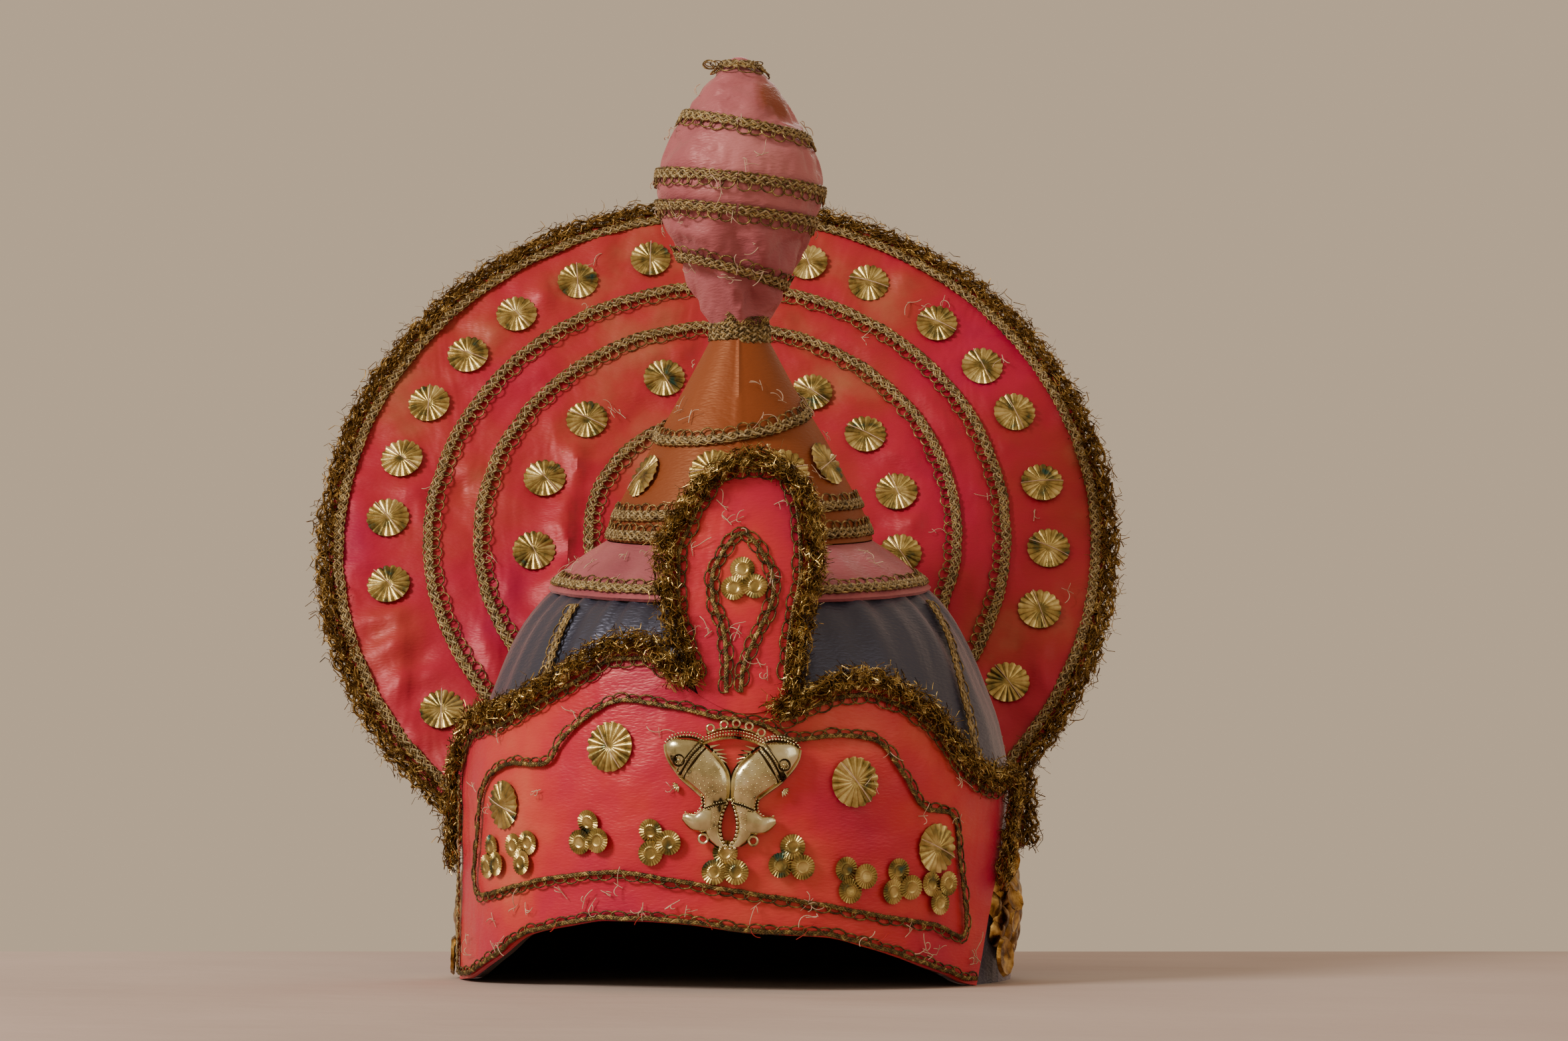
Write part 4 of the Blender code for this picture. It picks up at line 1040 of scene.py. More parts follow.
# %% [markdown]
# ## Rings of braid on the crown
# The rings tilt a little, each its own way. On the collar and cone their loops stand up; on the
# spindle they hang down, except those of the lowest ring.

# %% Rings
def ring_braid(name, radius_at, foot, span, ring, loop_side):
    """A closed ring of gimp; ring is its height and how far it rises at the right and the back."""
    share, side_rise, back_rise = (*ring, 0.0, 0.0)[:3]
    azimuth = np.linspace(0, 2 * math.pi, 300, endpoint=False)
    height = share + side_rise * np.sin(azimuth) - back_rise * np.cos(azimuth)
    places = on_crown(radius_at, azimuth, foot + height * span, SEAT)
    route = make_route(places, closed=True, seed=foot + share)
    gimp(name + "_yarns", route, loop_side, nodes=(name,), half=0.0007, reach=0.0030)


ring_braid("collar_braid", collar_radius, COLLAR_FOOT, COLLAR_HEIGHT, (0.18,), 1)
CONE_RINGS = {
    "cone_hem_braid": (0.045, 0.010),
    "cone_lower_braid": (0.155, 0.030),
    "cone_upper_braid": (0.580, 0.065, 0.07),
}
for name, ring in CONE_RINGS.items():
    ring_braid(name, cone_radius, CONE_FOOT, CONE_HEIGHT, ring, 1)
for name, ring in SPINDLE_RINGS.items():
    up_or_down = 1 if name == "spindle_lower_braid" else -1
    ring_braid(name, spindle_radius, SPINDLE_FOOT, SPINDLE_HEIGHT, ring, up_or_down)

# %% [markdown]
# ## The wrap at the neck
# Where the spindle is tied on, the braid goes round three times.

# %% Neck wrap
NECK_RADIUS = 0.0102
turns = np.linspace(0, 3 * 2 * math.pi, 360)
climb = SPINDLE_FOOT - 0.003 + 0.006 * turns / turns[-1]
wind = on_crown(lambda h: np.full_like(h, NECK_RADIUS), turns, climb)
neck_route = make_route(wind, sway=0.0006, seed=4.0)
neck = plaited(neck_route, 0.0010, 0.0046, 0.00055, (CREAM, GOLD, DARK))
for side, phase in ((1, 0.0), (1, 0.4), (-1, 0.2)):
    neck.append(looped(neck_route, 0.0004, 0.0042, 0.0031, 0.00024, side, GOLD, phase))
sew_on("neck_wrap_yarns", neck, "neck_wrap")

# %% [markdown]
# ## Braids on the cap and the frontlet
# Two stripes run down the cap. On the frontlet the narrow braid draws a frame inside the band's
# edge, a line along the hem and a drop on the plaque.

# %% Stripes, frame, hem and drop
STRIPES = (
    ("dome_stripe_left", -1, ((-52, 0.97), (-50, 0.88), (-48.5, 0.79), (-47.5, 0.73))),
    ("dome_stripe_right", 1, ((69, 0.97), (64, 0.86), (60, 0.74), (57, 0.56))),
)
for name, loop_side, stops in STRIPES:
    places = on_crown(cap_radius, *smooth_stops(stops, COLLAR_FOOT, 60), SEAT + 0.0004)
    gimp(name + "_yarns", make_route(places), loop_side, nodes=(name,), half=0.0005, reach=0.0026)

BAND_FRAME = (
    (-62.0, 0.26), (-40.0, 0.31), (-24.0, 0.34), (-11.0, 0.32), (0.0, 0.29), (16.0, 0.25),
    (29.0, 0.21), (41.0, 0.18), (49.5, 0.15), (48.0, 0.36), (46.0, 0.49), (38.3, 0.52),
    (33.3, 0.62), (28.5, 0.71), (20.3, 0.735), (10.9, 0.725), (6.0, 0.765), (1.0, 0.782),
    (-4.0, 0.790), (-8.9, 0.81), (-21.9, 0.835), (-28.7, 0.80), (-35.6, 0.72), (-39.5, 0.645),
    (-50.5, 0.635), (-59.0, 0.57), (-62.0, 0.44),
)
TEARDROP = (
    (-1.7, 0.86), (-1.9, 0.95), (-2.6, 1.04), (-5.0, 1.13), (-4.4, 1.215), (1.5, 1.295),
    (7.3, 1.215), (8.0, 1.13), (4.6, 1.03), (1.6, 0.94), (1.1, 0.86),
)
LOWEST_HEM = 0.0030
for name, node, stops, count, closed, sides in (
    ("band_frame_yarns", "band_frame_braid", BAND_FRAME, 640, True, (-1,)),
    ("teardrop_yarns", "teardrop_braid", TEARDROP, 200, False, (1, -1)),
):
    places = on_crown(frontlet_radius, *smooth_stops(stops, BAND_HEIGHT, count, closed), SEAT)
    picot(name, make_route(places, closed=closed), sides, nodes=(node,))

where = np.linspace(0.01, 0.99, 420) * (len(BAND_ROWS) - 1)
hem_height = np.maximum(band_hem(where) * BAND_HEIGHT + 0.0012, LOWEST_HEM)
hem = on_crown(frontlet_radius, np.radians(band_foot(where)), hem_height, SEAT)
picot("band_hem_yarns", make_route(hem, sway=0.0005), (1,), nodes=("band_hem_braid",), reach=0.0018)
share = np.linspace(0.08, 1.0, 150)
side = np.repeat([0.09, 0.09 + 0.82], 150)
edge = plaque_place(side, np.concatenate([share, share[::-1]]) * 0.955, SEAT)
picot("plaque_edge_yarns", make_route(edge), (-1,), reach=0.0024)
for name, start, end in (("left", 0.02, 0.41), ("right", 0.55, 0.985)):
    edge = band_place(np.linspace(start, end, 160), np.full(160, 0.945), SEAT)
    picot(f"band_edge_{name}_yarns", make_route(edge, sway=0.0005), (-1,), reach=0.0024)
edge = band_place(np.full(60, 0.008), np.linspace(0.06, 0.97, 60), SEAT)
gimp("band_side_yarns", make_route(edge, sway=0.0006), 1, half=0.0006, reach=0.0022)

# %% [markdown]
# ## Tinsel
# The fringes are thousands of thin metal strips, twisted and tangled. Three strips are modelled,
# each a thin three-sided bar that is cut into stations in edit mode and then bent. Copies of them
# are strewn along the edge, each turned and stretched its own way by a seeded random draw, and
# joined.

# %% Three strips of tinsel
def taken_apart(obj):
    """The points and faces of a modelled part, which is then removed, to make copies from."""
    points = mesh_points(obj)
    faces = [tuple(face.vertices) for face in obj.data.polygons]
    bpy.data.objects.remove(obj, do_unlink=True)
    return points, faces


def bent_strip(name, turns, rise):
    """A three-sided bar, one unit long, whose stations are turned one after another."""
    bpy.ops.object.select_all(action="DESELECT")
    bpy.ops.mesh.primitive_cylinder_add(
        vertices=3, radius=0.5, depth=1.0, location=(0.5, 0, 0), rotation=(0, math.pi / 2, 0)
    )
    obj = bpy.context.object
    obj.name = name
    bpy.ops.object.transform_apply(location=True, rotation=True, scale=False)
    bpy.ops.object.mode_set(mode="EDIT")
    for k in range(1, len(turns)):
        bpy.ops.mesh.select_all(action="SELECT")
        bpy.ops.mesh.bisect(plane_co=(k / len(turns), 0.0, 0.0), plane_no=(1.0, 0.0, 0.0))
    bpy.ops.object.mode_set(mode="OBJECT")
    points, faces = taken_apart(obj)
    heading = np.cumsum(turns)
    steps = np.stack([np.cos(heading), np.sin(heading)], -1) / len(turns)
    spots = np.vstack([np.zeros(2), np.cumsum(steps, 0)])
    line = spots[np.round(points[:, 0] * len(turns)).astype(int)]
    shaped = np.column_stack([line, rise * np.sin(points[:, 0] * 2.6)])
    return shaped, points[:, 1:], faces


STRIPS = (
    bent_strip("strip_arc", (0.1, 0.9, 0.9), 0.15),
    bent_strip("strip_wave", (0.8, -1.5, 1.1), 0.3),
    bent_strip("strip_hook", (0.1, 0.6, 1.5), 0.10),
)


def repeat_faces(faces, per, count, start=0):
    """The faces of so many copies of a part that has per points each."""
    return [tuple(start + i * per + v for v in face) for i in range(count) for face in faces]


def strew(name, route, count, spread, seed, nodes, length, wild=0.05, finish=tinsel_foil):
    """Strips strewn along a route; spread is (low side, high side, low lift, high lift)."""
    draw = np.random.default_rng(seed)
    n = count // len(STRIPS)
    points, faces, total = [], [], 0
    for shaped, section, strip_faces in STRIPS:
        along = draw.uniform(0.0, route.along[-1], n)
        across = draw.triangular(spread[0], (spread[0] + spread[1]) / 2, spread[1], n)
        lift = draw.triangular(spread[2], (spread[2] + spread[3]) / 2, spread[3], n)
        behind, base, ahead = (
            off_route(route, np.clip(along + step, 0, route.along[-1]), across, lift)
            for step in (-0.001, 0.0, 0.001)
        )
        forward = unit(ahead - behind) * draw.choice([-1.0, 1.0], n)[:, None]
        _, side, out = at_route(route, along)
        stray = draw.random(n) < wild
        lean = np.where(stray, draw.uniform(0.3, 1.3, n), draw.normal(0.0, 0.38, n))
        tilt = draw.normal(0.0, 0.25, n)
        x = unit(forward + side * lean[:, None] + out * tilt[:, None])
        y = unit(np.cross(out + 0.8 * draw.normal(size=(n, 3)), x))
        z = np.cross(x, y)
        size = draw.uniform(*length, n)[:, None, None]
        wide = draw.uniform(0.00034, 0.00056, n)[:, None, None]
        twist = draw.uniform(-1.5, 1.5, n)[:, None] * shaped[None, :, 0]
        twist = (twist + draw.uniform(0, 3.1, n)[:, None])[..., None]
        x, y, z = x[:, None], y[:, None], z[:, None]
        body = x * shaped[None, :, :1] + y * shaped[None, :, 1:2] + z * shaped[None, :, 2:]
        flat = wide * section[None, :, :1] * (y * np.cos(twist) + z * np.sin(twist))
        edge = 0.00016 * section[None, :, 1:] * (z * np.cos(twist) - y * np.sin(twist))
        placed = base[:, None] + size * (body - 0.5 * x) + flat + edge
        points.append(placed.reshape(-1, 3))
        faces += repeat_faces(strip_faces, len(shaped), n, total)
        total += n * len(shaped)
    obj = new_object(name, np.concatenate(points), faces, finish)
    return hand_over(obj, "bronze_tinsel", *nodes)


# %% [markdown]
# ## The fringes
# Under the strips lies a core of fine wire that curls to and fro, so that no cloth shows through.
# The halo's fringe goes round its rim, and the frontlet's along its top edge and the plaque.

# %% The fringes
def tangle(name, route, spread, seed, finish, strands=5, thick=0.00026):
    """The fringe's own core: fine wire that curls to and fro along the edge."""
    draw = np.random.default_rng(seed)
    along = np.arange(0.0, route.along[-1], 0.0011)
    wires = []
    for k in range(strands):
        middle = spread[0] + (k + 0.5) / strands * (spread[1] - spread[0])
        turn = np.cumsum(draw.uniform(0.5, 1.5, len(along)))
        size = draw.uniform(0.0006, 0.0016, len(along))
        across = middle + size * np.sin(turn)
        lift = (spread[2] + spread[3]) * 0.45 + size * np.cos(turn * 0.8 + k)
        there = np.clip(along + 0.0012 * np.sin(turn * 1.3), 0, route.along[-1])
        wires.append(Yarn(off_route(route, there, across, lift), thick, 0))
    return sew_on(name, wires, finishes=(finish,), slot="bronze_tinsel")


fringe_line = on_halo(*np.array(halo_outline(0.0013, 500)).T, -0.001)
halo_edge = make_route(fringe_line, sway=0.0008)
HALO_CORE = (-0.0042, 0.0030, -0.0020, 0.0036)
HALO_SPREAD = (-0.0050, 0.0048, -0.0035, 0.0048)
tangle("halo_tinsel_core", halo_edge, HALO_CORE, 2, tinsel_foil, strands=9, thick=0.00052)
strew("halo_tinsel", halo_edge, 5800, HALO_SPREAD, 3, ("halo_fringe",), length=(0.0045, 0.0100))


def band_edge_line(start, end, drop):
    """The band's top edge from start to end, and down the end of the band that it reaches."""
    u = np.concatenate([np.linspace(start, end, 200), np.full(60, end)])
    v = np.concatenate([np.ones(200), np.linspace(1.0, drop, 60)])
    if start == 0.0:
        u = np.concatenate([np.full(60, start), u[:200]])
        v = np.concatenate([v[:199:-1], v[:200]])
    return make_route(band_place(u, v, SEAT), sway=0.0006)


SPREAD = (-0.0038, 0.0038, 0.0002, 0.0044)
rise = np.linspace(0.03, 1.0, 160)
plaque_line = plaque_place(np.repeat([0.0, 1.0], 160), np.concatenate([rise, rise[::-1]]), SEAT)
for name, route, count, seed in (
    ("band_fringe_left", band_edge_line(0.0, 0.425, 0.55), 2200, 5),
    ("band_fringe_right", band_edge_line(0.535, 1.0, 0.5), 2400, 7),
    ("plaque_fringe", make_route(plaque_line, sway=0.0006), 2700, 9),
):
    tinsel = name.replace("fringe", "tinsel")
    tangle(tinsel + "_core", route, SPREAD, seed + 1, bright_foil)
    strew(tinsel, route, count, SPREAD, seed, (name,), (0.0045, 0.0090), 0.06, bright_foil)

# %% [markdown]
# ## Stamped discs and coins
# The discs were stamped from brass foil in a fluted die. One is modelled: a circle is extruded
# inwards ring by ring, its flutes are raised and lowered in turn, its middle gets a dimple, and
# Solidify gives the foil its thickness. The coins are smaller, with finer ridges round a plain
# middle.

# %% One disc and one coin
def nested_rings(name, vertices, radius, shares):
    """A circle extruded inwards ring by ring, each ring a share of the one before it."""
    bpy.ops.object.select_all(action="DESELECT")
    bpy.ops.mesh.primitive_circle_add(vertices=vertices, radius=radius, fill_type="NOTHING")
    obj = bpy.context.object
    obj.name = name
    bpy.ops.object.mode_set(mode="EDIT")
    bpy.ops.mesh.select_all(action="SELECT")
    for share in shares:
        bpy.ops.mesh.extrude_region_move()
        bpy.ops.transform.resize(value=(share, share, share), center_override=(0, 0, 0))
    bpy.ops.mesh.edge_face_add()
    bpy.ops.object.mode_set(mode="OBJECT")
    return obj


def stamped(name, radius, flutes, rings, rise, flute_depth, foil, sides=4):
    """A fluted stamping, round its own Z axis; rings are shares of its radius, from the rim in."""
    shares = [inner / outer for outer, inner in zip((1.0, *rings), rings)]
    obj = nested_rings(name, flutes * sides, radius, shares)
    outward(obj)
    for vertex in obj.data.vertices:
        x, y, _ = vertex.co
        share = math.hypot(x, y) / radius
        wave = math.cos(flutes * math.atan2(y, x))
        scallop = 1 + 0.15 * wave * max(share - 0.8, 0)
        flute = flute_depth * wave * max(share - rings[-1] * 1.2, 0)
        vertex.co = (x * scallop, y * scallop, rise(share) + flute)
    thicken(obj, foil, 0.0)
    return taken_apart(obj)


def hump(s, middle, width, high):
    """A round bump in a stamping's profile."""
    return high * math.exp(-(((s - middle) / width) ** 2))


DISC_RADIUS = 0.00825
DISC = stamped(
    "disc", DISC_RADIUS, 18, (0.96, 0.6, 0.28, 0.16, 0.07),
    lambda s: 0.0009 - 0.0006 * s * s - hump(s, 0.0, 0.13, 0.0004), 0.00055, 0.0002, sides=3,
)
COIN = stamped(
    "coin", 0.0041, 24, (0.94, 0.56, 0.46, 0.34),
    lambda s: 0.0005 + hump(s, 0.46, 0.08, 0.0003), 0.00036, 0.0002, sides=2,
)


def copies(name, shape, places, finish, slot, nodes=(), tilts=0.0, seed=1, smooth=40):
    """Copies of a shape at places, each turned its own way, as one mesh."""
    draw = np.random.default_rng(seed)
    points, faces = shape
    n = len(places.point)
    spin = draw.uniform(0, 2 * math.pi, n)[:, None]
    x = places.across * np.cos(spin) + places.up * np.sin(spin)
    out = unit(places.out + tilts * draw.normal(size=(n, 3)))
    y = unit(np.cross(out, x))
    ways = (np.cross(y, out), y, out)
    placed = places.point[:, None] + sum(points[:, k : k + 1] * ways[k][:, None] for k in range(3))
    every_face = repeat_faces(faces, len(points), n)
    obj = new_object(name, placed.reshape(-1, 3), every_face, finish)
    return hand_over(obj, slot, *nodes, smooth=smooth)


def one_place(radius_at, azimuth, height, lift=SEAT):
    return on_crown(radius_at, np.radians([azimuth]), np.array([height]), lift)


# %% [markdown]
# ## Discs and coins in place
# Two rows of discs stand on the halo, four discs on the cone and four on the band. The coins are
# sewn on in threes, each lapping over the one before.

# %% Discs and coins in place
copies(
    "halo_discs", DISC, halo_turn(field_radius, field_angle, 0.0003), stamped_brass, "brass",
    tilts=0.05,
)

CONE_DISCS = ((-62, 0.31), (-14, 0.34), (27.5, 0.34), (60, 0.37))
BAND_DISCS = ((-24.7, 0.70), (22.9, 0.60), (-51.5, 0.518), (41.5, 0.400))
cone_seats = [one_place(cone_radius, a, CONE_FOOT + h * CONE_HEIGHT) for a, h in CONE_DISCS]
band_seats = [one_place(frontlet_radius, a, h * BAND_HEIGHT) for a, h in BAND_DISCS]
for kind, seats, seed in (("cone_disc_", cone_seats, 0), ("band_disc_", band_seats, 10)):
    for i, seat in enumerate(seats, 1):
        node = kind + str(i)
        copies(node + "_stamped", DISC, seat, stamped_brass, "brass", (node,), seed=seed + i)


def around_place(place, x, y, z):
    """Points that are moved across, up and out from one place."""
    moves = (np.asarray(far)[..., None] for far in (x, y, z))
    return place.point[0] + sum(far * way[0] for far, way in zip(moves, place[1:]))


CLUSTERS = {
    "band_coins_1": (-55.5, 0.360, 10), "band_coins_2": (-45.5, 0.392, -50),
    "band_coins_3": (-28.5, 0.446, 5), "band_coins_4": (-14.6, 0.430, 30),
    "band_coins_5": (-1.8, 0.364, 0), "band_coins_6": (10.5, 0.380, -5),
    "band_coins_7": (22.5, 0.322, 40), "band_coins_8": (32.5, 0.305, 10),
    "band_coins_9": (42.0, 0.280, 60), "plaque_coins": (1.7, 1.17, 5),
}
COIN_GAP = 0.0042
for k, (name, (azimuth, share, turn)) in enumerate(CLUSTERS.items()):
    middle = one_place(frontlet_radius, azimuth, share * BAND_HEIGHT)
    angle = np.radians(turn + 90 + 120 * np.arange(3))
    x, y = COIN_GAP * np.cos(angle), COIN_GAP * np.sin(angle)
    spots = around_place(middle, x, y, 0.00035 * np.arange(3))
    three = Places(spots, *(np.repeat(way, 3, 0) for way in middle[1:]))
    copies(
        name + "_stamped", COIN, three, stamped_brass, "brass", (name,),
        tilts=0.06, seed=20 + k, smooth=25,
    )

# %% [markdown]
# ## Twin fish
# The ornament on the forehead is a thin stamping plated in pale gold: two fish back to back, heads
# up, with beaded rims. One fish is made and the other is its mirror image. Its body, fin and tail
# are each a grid wrapped between two edges and domed in the middle; the beads, spikes, eyelets and
# small fins are primitives set along its edges.

# %% Places on the ornament
fish_seat = one_place(frontlet_radius, -0.8, 0.596 * BAND_HEIGHT, 0.0003)
FISH_TURN = math.radians(-2.5)
FISH_SCALE = 0.00096


def on_fish(points):
    """Points given across, up and out in millimetres, bent round the band and set in place."""
    across, up, out = (points[..., k] * FISH_SCALE for k in range(3))
    x = across * math.cos(FISH_TURN) - up * math.sin(FISH_TURN)
    y = across * math.sin(FISH_TURN) + up * math.cos(FISH_TURN)
    return around_place(fish_seat, x, y, out - 0.8 * x**2 / (2 * FRONTLET_RADIUS))


fish_parts = []


def keep_part(side, obj):
    """Moves a part modelled flat, in millimetres, to its place; side is -1 for the left fish."""
    move_points(obj, on_fish(mesh_points(obj) * [side, 1, 1]))
    fish_parts.append(obj)
    outward(obj)


# %% [markdown]
# ## Bodies, fins and tails
# A row of each table is one station: the two edge points of the outline there and the height of
# the dome between them, in millimetres. Under each part lies a wider, flat one of dark metal,
# which is oxide and painted shade round the raised metal.

# %% Bodies, fins and tails
FISH_BODY = (
    (22.7, 13.5, 23.0, 12.3, 0.4), (21.0, 14.8, 22.8, 10.4, 1.5), (18.6, 15.4, 21.7, 8.0, 2.4),
    (15.0, 15.4, 20.2, 5.6, 3.0), (11.9, 14.9, 18.4, 3.7, 3.2), (9.6, 13.3, 17.0, 1.9, 2.9),
    (6.4, 10.9, 15.3, 0.5, 3.4), (3.2, 7.7, 12.9, -1.4, 3.5), (1.0, 4.2, 10.9, -2.9, 3.3),
    (0.35, 0.6, 9.3, -4.5, 3.0), (0.35, -2.6, 8.7, -6.4, 2.6), (0.9, -5.8, 8.6, -8.4, 2.2),
)
FISH_FIN = (
    (6.0, -7.6, 6.4, -15.4, 1.4), (9.3, -9.2, 9.3, -15.7, 1.8), (11.6, -10.6, 11.9, -15.3, 1.7),
    (13.8, -10.5, 13.8, -14.0, 1.2), (15.4, -11.2, 15.5, -12.0, 0.4),
)
FISH_TAIL = (
    (1.0, -6.4, 8.2, -8.6, 2.0), (2.6, -10.6, 8.2, -12.6, 1.8), (3.1, -14.6, 7.8, -16.4, 1.6),
    (2.4, -18.2, 6.3, -18.8, 1.2), (1.0, -20.9, 3.9, -20.7, 0.5),
)


def shell_of(rows, base):
    """A dome between two edges given as rows; returns its place for u across and v along."""
    last = len(rows) - 1
    smooth = by_row(rows, 200)

    def place(u, v):
        x0, y0, x1, y1, rise = (curve(v * last) for curve in smooth)
        out = base + rise * np.sqrt(np.maximum(1 - np.abs(2 * u - 1) ** 2.4, 0))
        return np.stack([x0 + u * (x1 - x0), y0 + u * (y1 - y0), out], -1)

    return place


def domed(name, rows, columns, stations, base=0.9, finish=pale_gold):
    """A closed shell of metal over such a dome."""
    shell = wrapped(name, columns, stations, shell_of(rows, base), finish)
    thicken(shell, 0.8 if finish is pale_gold else 0.3, 1.0)
    return shell


def spread_out(rows, margin):
    """The same outline, a margin wider and almost flat, for the dark edge under a fish, which is
    oxide and painted shade.
    """
    wider = []
    for x0, y0, x1, y1, _ in rows:
        long = math.hypot(x1 - x0, y1 - y0)
        dx, dy = (x1 - x0) / long * margin, (y1 - y0) / long * margin
        wider.append((x0 - dx, y0 - dy, x1 + dx, y1 + dy, 0.1))
    return wider


FISH_SHELLS = (
    ("fish_body", FISH_BODY, 20, 44, 0.9), ("fish_fin", FISH_FIN, 14, 20, 0.8),
    ("fish_tail", FISH_TAIL, 14, 20, 0.8),
)
for side in (1, -1):
    for name, rows, columns, stations, base in FISH_SHELLS:
        keep_part(side, domed(name, rows, columns, stations, base))
        # The wider dark part under each piece is painted shade round the raised metal, together with
        # its oxide.
        under = spread_out(rows, 0.75)
        keep_part(side, domed(name + "_edge", under, 4, stations, 0.45, oxide_and_painted_shade))

# %% [markdown]
# ## Beads, rims and eyelets
# The fish are outlined with rows of beads and plain rims, and their heads with grooves drawn as dark
# lines, which are oxide and painted shade.
# Beads, spikes, small fins and eyelets are primitives, joined into one part for each fish.

# %% Beads, rims, eyelets, spikes and small fins
def walk(line, gap):
    """Evenly spaced spots along a smooth line given by a few points."""
    return even_spots(smooth_line(np.array(line, float), 10), gap=gap)


def ball(spot, radius):
    bpy.ops.object.select_all(action="DESELECT")
    fineness = 2 if radius > 0.5 else 1
    bpy.ops.mesh.primitive_ico_sphere_add(subdivisions=fineness, radius=radius, location=spot)


def eyelet(x, y, major, minor):
    bpy.ops.object.select_all(action="DESELECT")
    bpy.ops.mesh.primitive_torus_add(
        location=(x, y, 1.0), major_radius=major, minor_radius=minor,
        major_segments=20, minor_segments=8,
    )


def spike(foot, tip):
    bpy.ops.object.select_all(action="DESELECT")
    way = tip - foot
    bpy.ops.mesh.primitive_cone_add(
        vertices=8, radius1=0.62, radius2=0.1, depth=way.length, location=(foot + tip) / 2,
        rotation=way.to_track_quat("Z", "Y").to_euler(),
    )


def joined(name):
    """Joins what has been added since the last part, keeping it flat, in millimetres."""
    kinds = ("Icosphere", "Torus", "Cone")
    parts = [o for o in bpy.context.scene.objects if o.type == "MESH"]
    loose = [o for o in parts if o.name.startswith(kinds)]
    bpy.ops.object.select_all(action="DESELECT")
    for o in loose:
        o.select_set(True)
    bpy.context.view_layer.objects.active = loose[0]
    bpy.ops.object.transform_apply(location=True, rotation=True, scale=True)
    bpy.ops.object.join()
    obj = bpy.context.object
    obj.name = name
    obj.data.materials.append(pale_gold)
    return obj


FISH_BEADS = (
    (((10.2, 15.9, 1.5), (13.0, 17.1, 1.5), (17.5, 17.1, 1.4), (21.3, 15.7, 1.2),
      (23.0, 13.8, 1.0)), 0.95, 0.44),
    (((10.6, 15.0, 2.2), (13.2, 16.1, 2.2), (17.3, 16.2, 2.0), (20.9, 14.9, 1.6)), 0.95, 0.44),
    (((0.4, -5.0, 2.0), (1.6, -7.5, 1.9), (2.6, -11.0, 1.8), (2.9, -14.5, 1.7),
      (2.3, -18.0, 1.4), (0.8, -20.4, 1.0)), 1.25, 0.62),
    (((8.9, -4.4, 1.8), (8.4, -6.6, 1.7), (8.9, -9.0, 1.7), (10.6, -10.7, 1.7),
      (13.0, -11.1, 1.5), (15.0, -10.7, 1.2)), 0.95, 0.45),
    (((9.9, -4.0, 1.2), (9.5, -6.6, 1.1), (10.1, -8.6, 1.1), (11.4, -9.8, 1.1),
      (13.2, -10.1, 1.0), (15.0, -9.8, 0.9)), 0.95, 0.42),
    (((10.6, 13.9, 2.4), (14.6, 9.2, 4.2), (18.0, 3.2, 2.1)), 0.85, 0.38),
    (((9.6, 13.0, 2.4), (13.4, 8.4, 4.3), (16.9, 2.3, 2.1)), 0.85, 0.38),
    (((1.2, -5.6, 2.3), (4.6, -6.4, 4.3), (8.3, -7.8, 2.2)), 0.8, 0.36),
    (((1.7, -6.5, 2.2), (4.8, -7.3, 4.2), (8.3, -8.7, 2.1)), 0.8, 0.36),
)
FISH_RIMS = (
    ((0.7, -4.6, 1.9), (0.5, 0.4, 2.0), (1.2, 4.1, 2.0), (3.4, 7.7, 2.0), (6.6, 11.0, 2.0)),
    ((23.2, 13.0, 1.2), (22.9, 10.4, 1.3), (21.6, 7.4, 1.3), (19.4, 4.4, 1.3), (16.8, 1.4, 1.3),
     (12.8, -1.7, 1.3), (9.6, -4.4, 1.3)),
    ((11.0, 14.7, 2.6), (14.9, 10.0, 4.5), (18.8, 3.9, 2.3)),
)
FISH_SPIKES = (
    ((6.4, 11.4), (2.8, 12.0)), ((5.4, 10.4), (1.9, 10.4)), ((4.6, 9.4), (1.7, 8.9)),
    ((3.8, 8.4), (1.5, 7.4)), ((7.6, 12.6), (4.4, 13.6)),
)
EYE = (18.0, 7.6)
turn = np.linspace(0, 2 * math.pi, 13)
eye_ring = [(EYE[0] + 1.9 * math.cos(t), EYE[1] + 1.9 * math.sin(t), 3.95) for t in turn]
# Lines of dark metal in the grooves of the heads and round the eye: oxide and painted shade.
FISH_SHADED_GROOVES = (
    (((10.1, 13.4, 2.9), (14.0, 8.8, 4.6), (17.5, 2.7, 2.5)), 0.36),
    (((9.0, 12.2, 2.6), (12.8, 7.6, 4.5), (16.2, 1.6, 2.3)), 0.34),
    (((1.4, -6.0, 2.6), (4.7, -6.85, 4.5), (8.3, -8.2, 2.5)), 0.32),
    (eye_ring, 0.32),
)
body_skin = shell_of(FISH_BODY, 0.9)
tail_skin = shell_of(FISH_TAIL, 0.8)
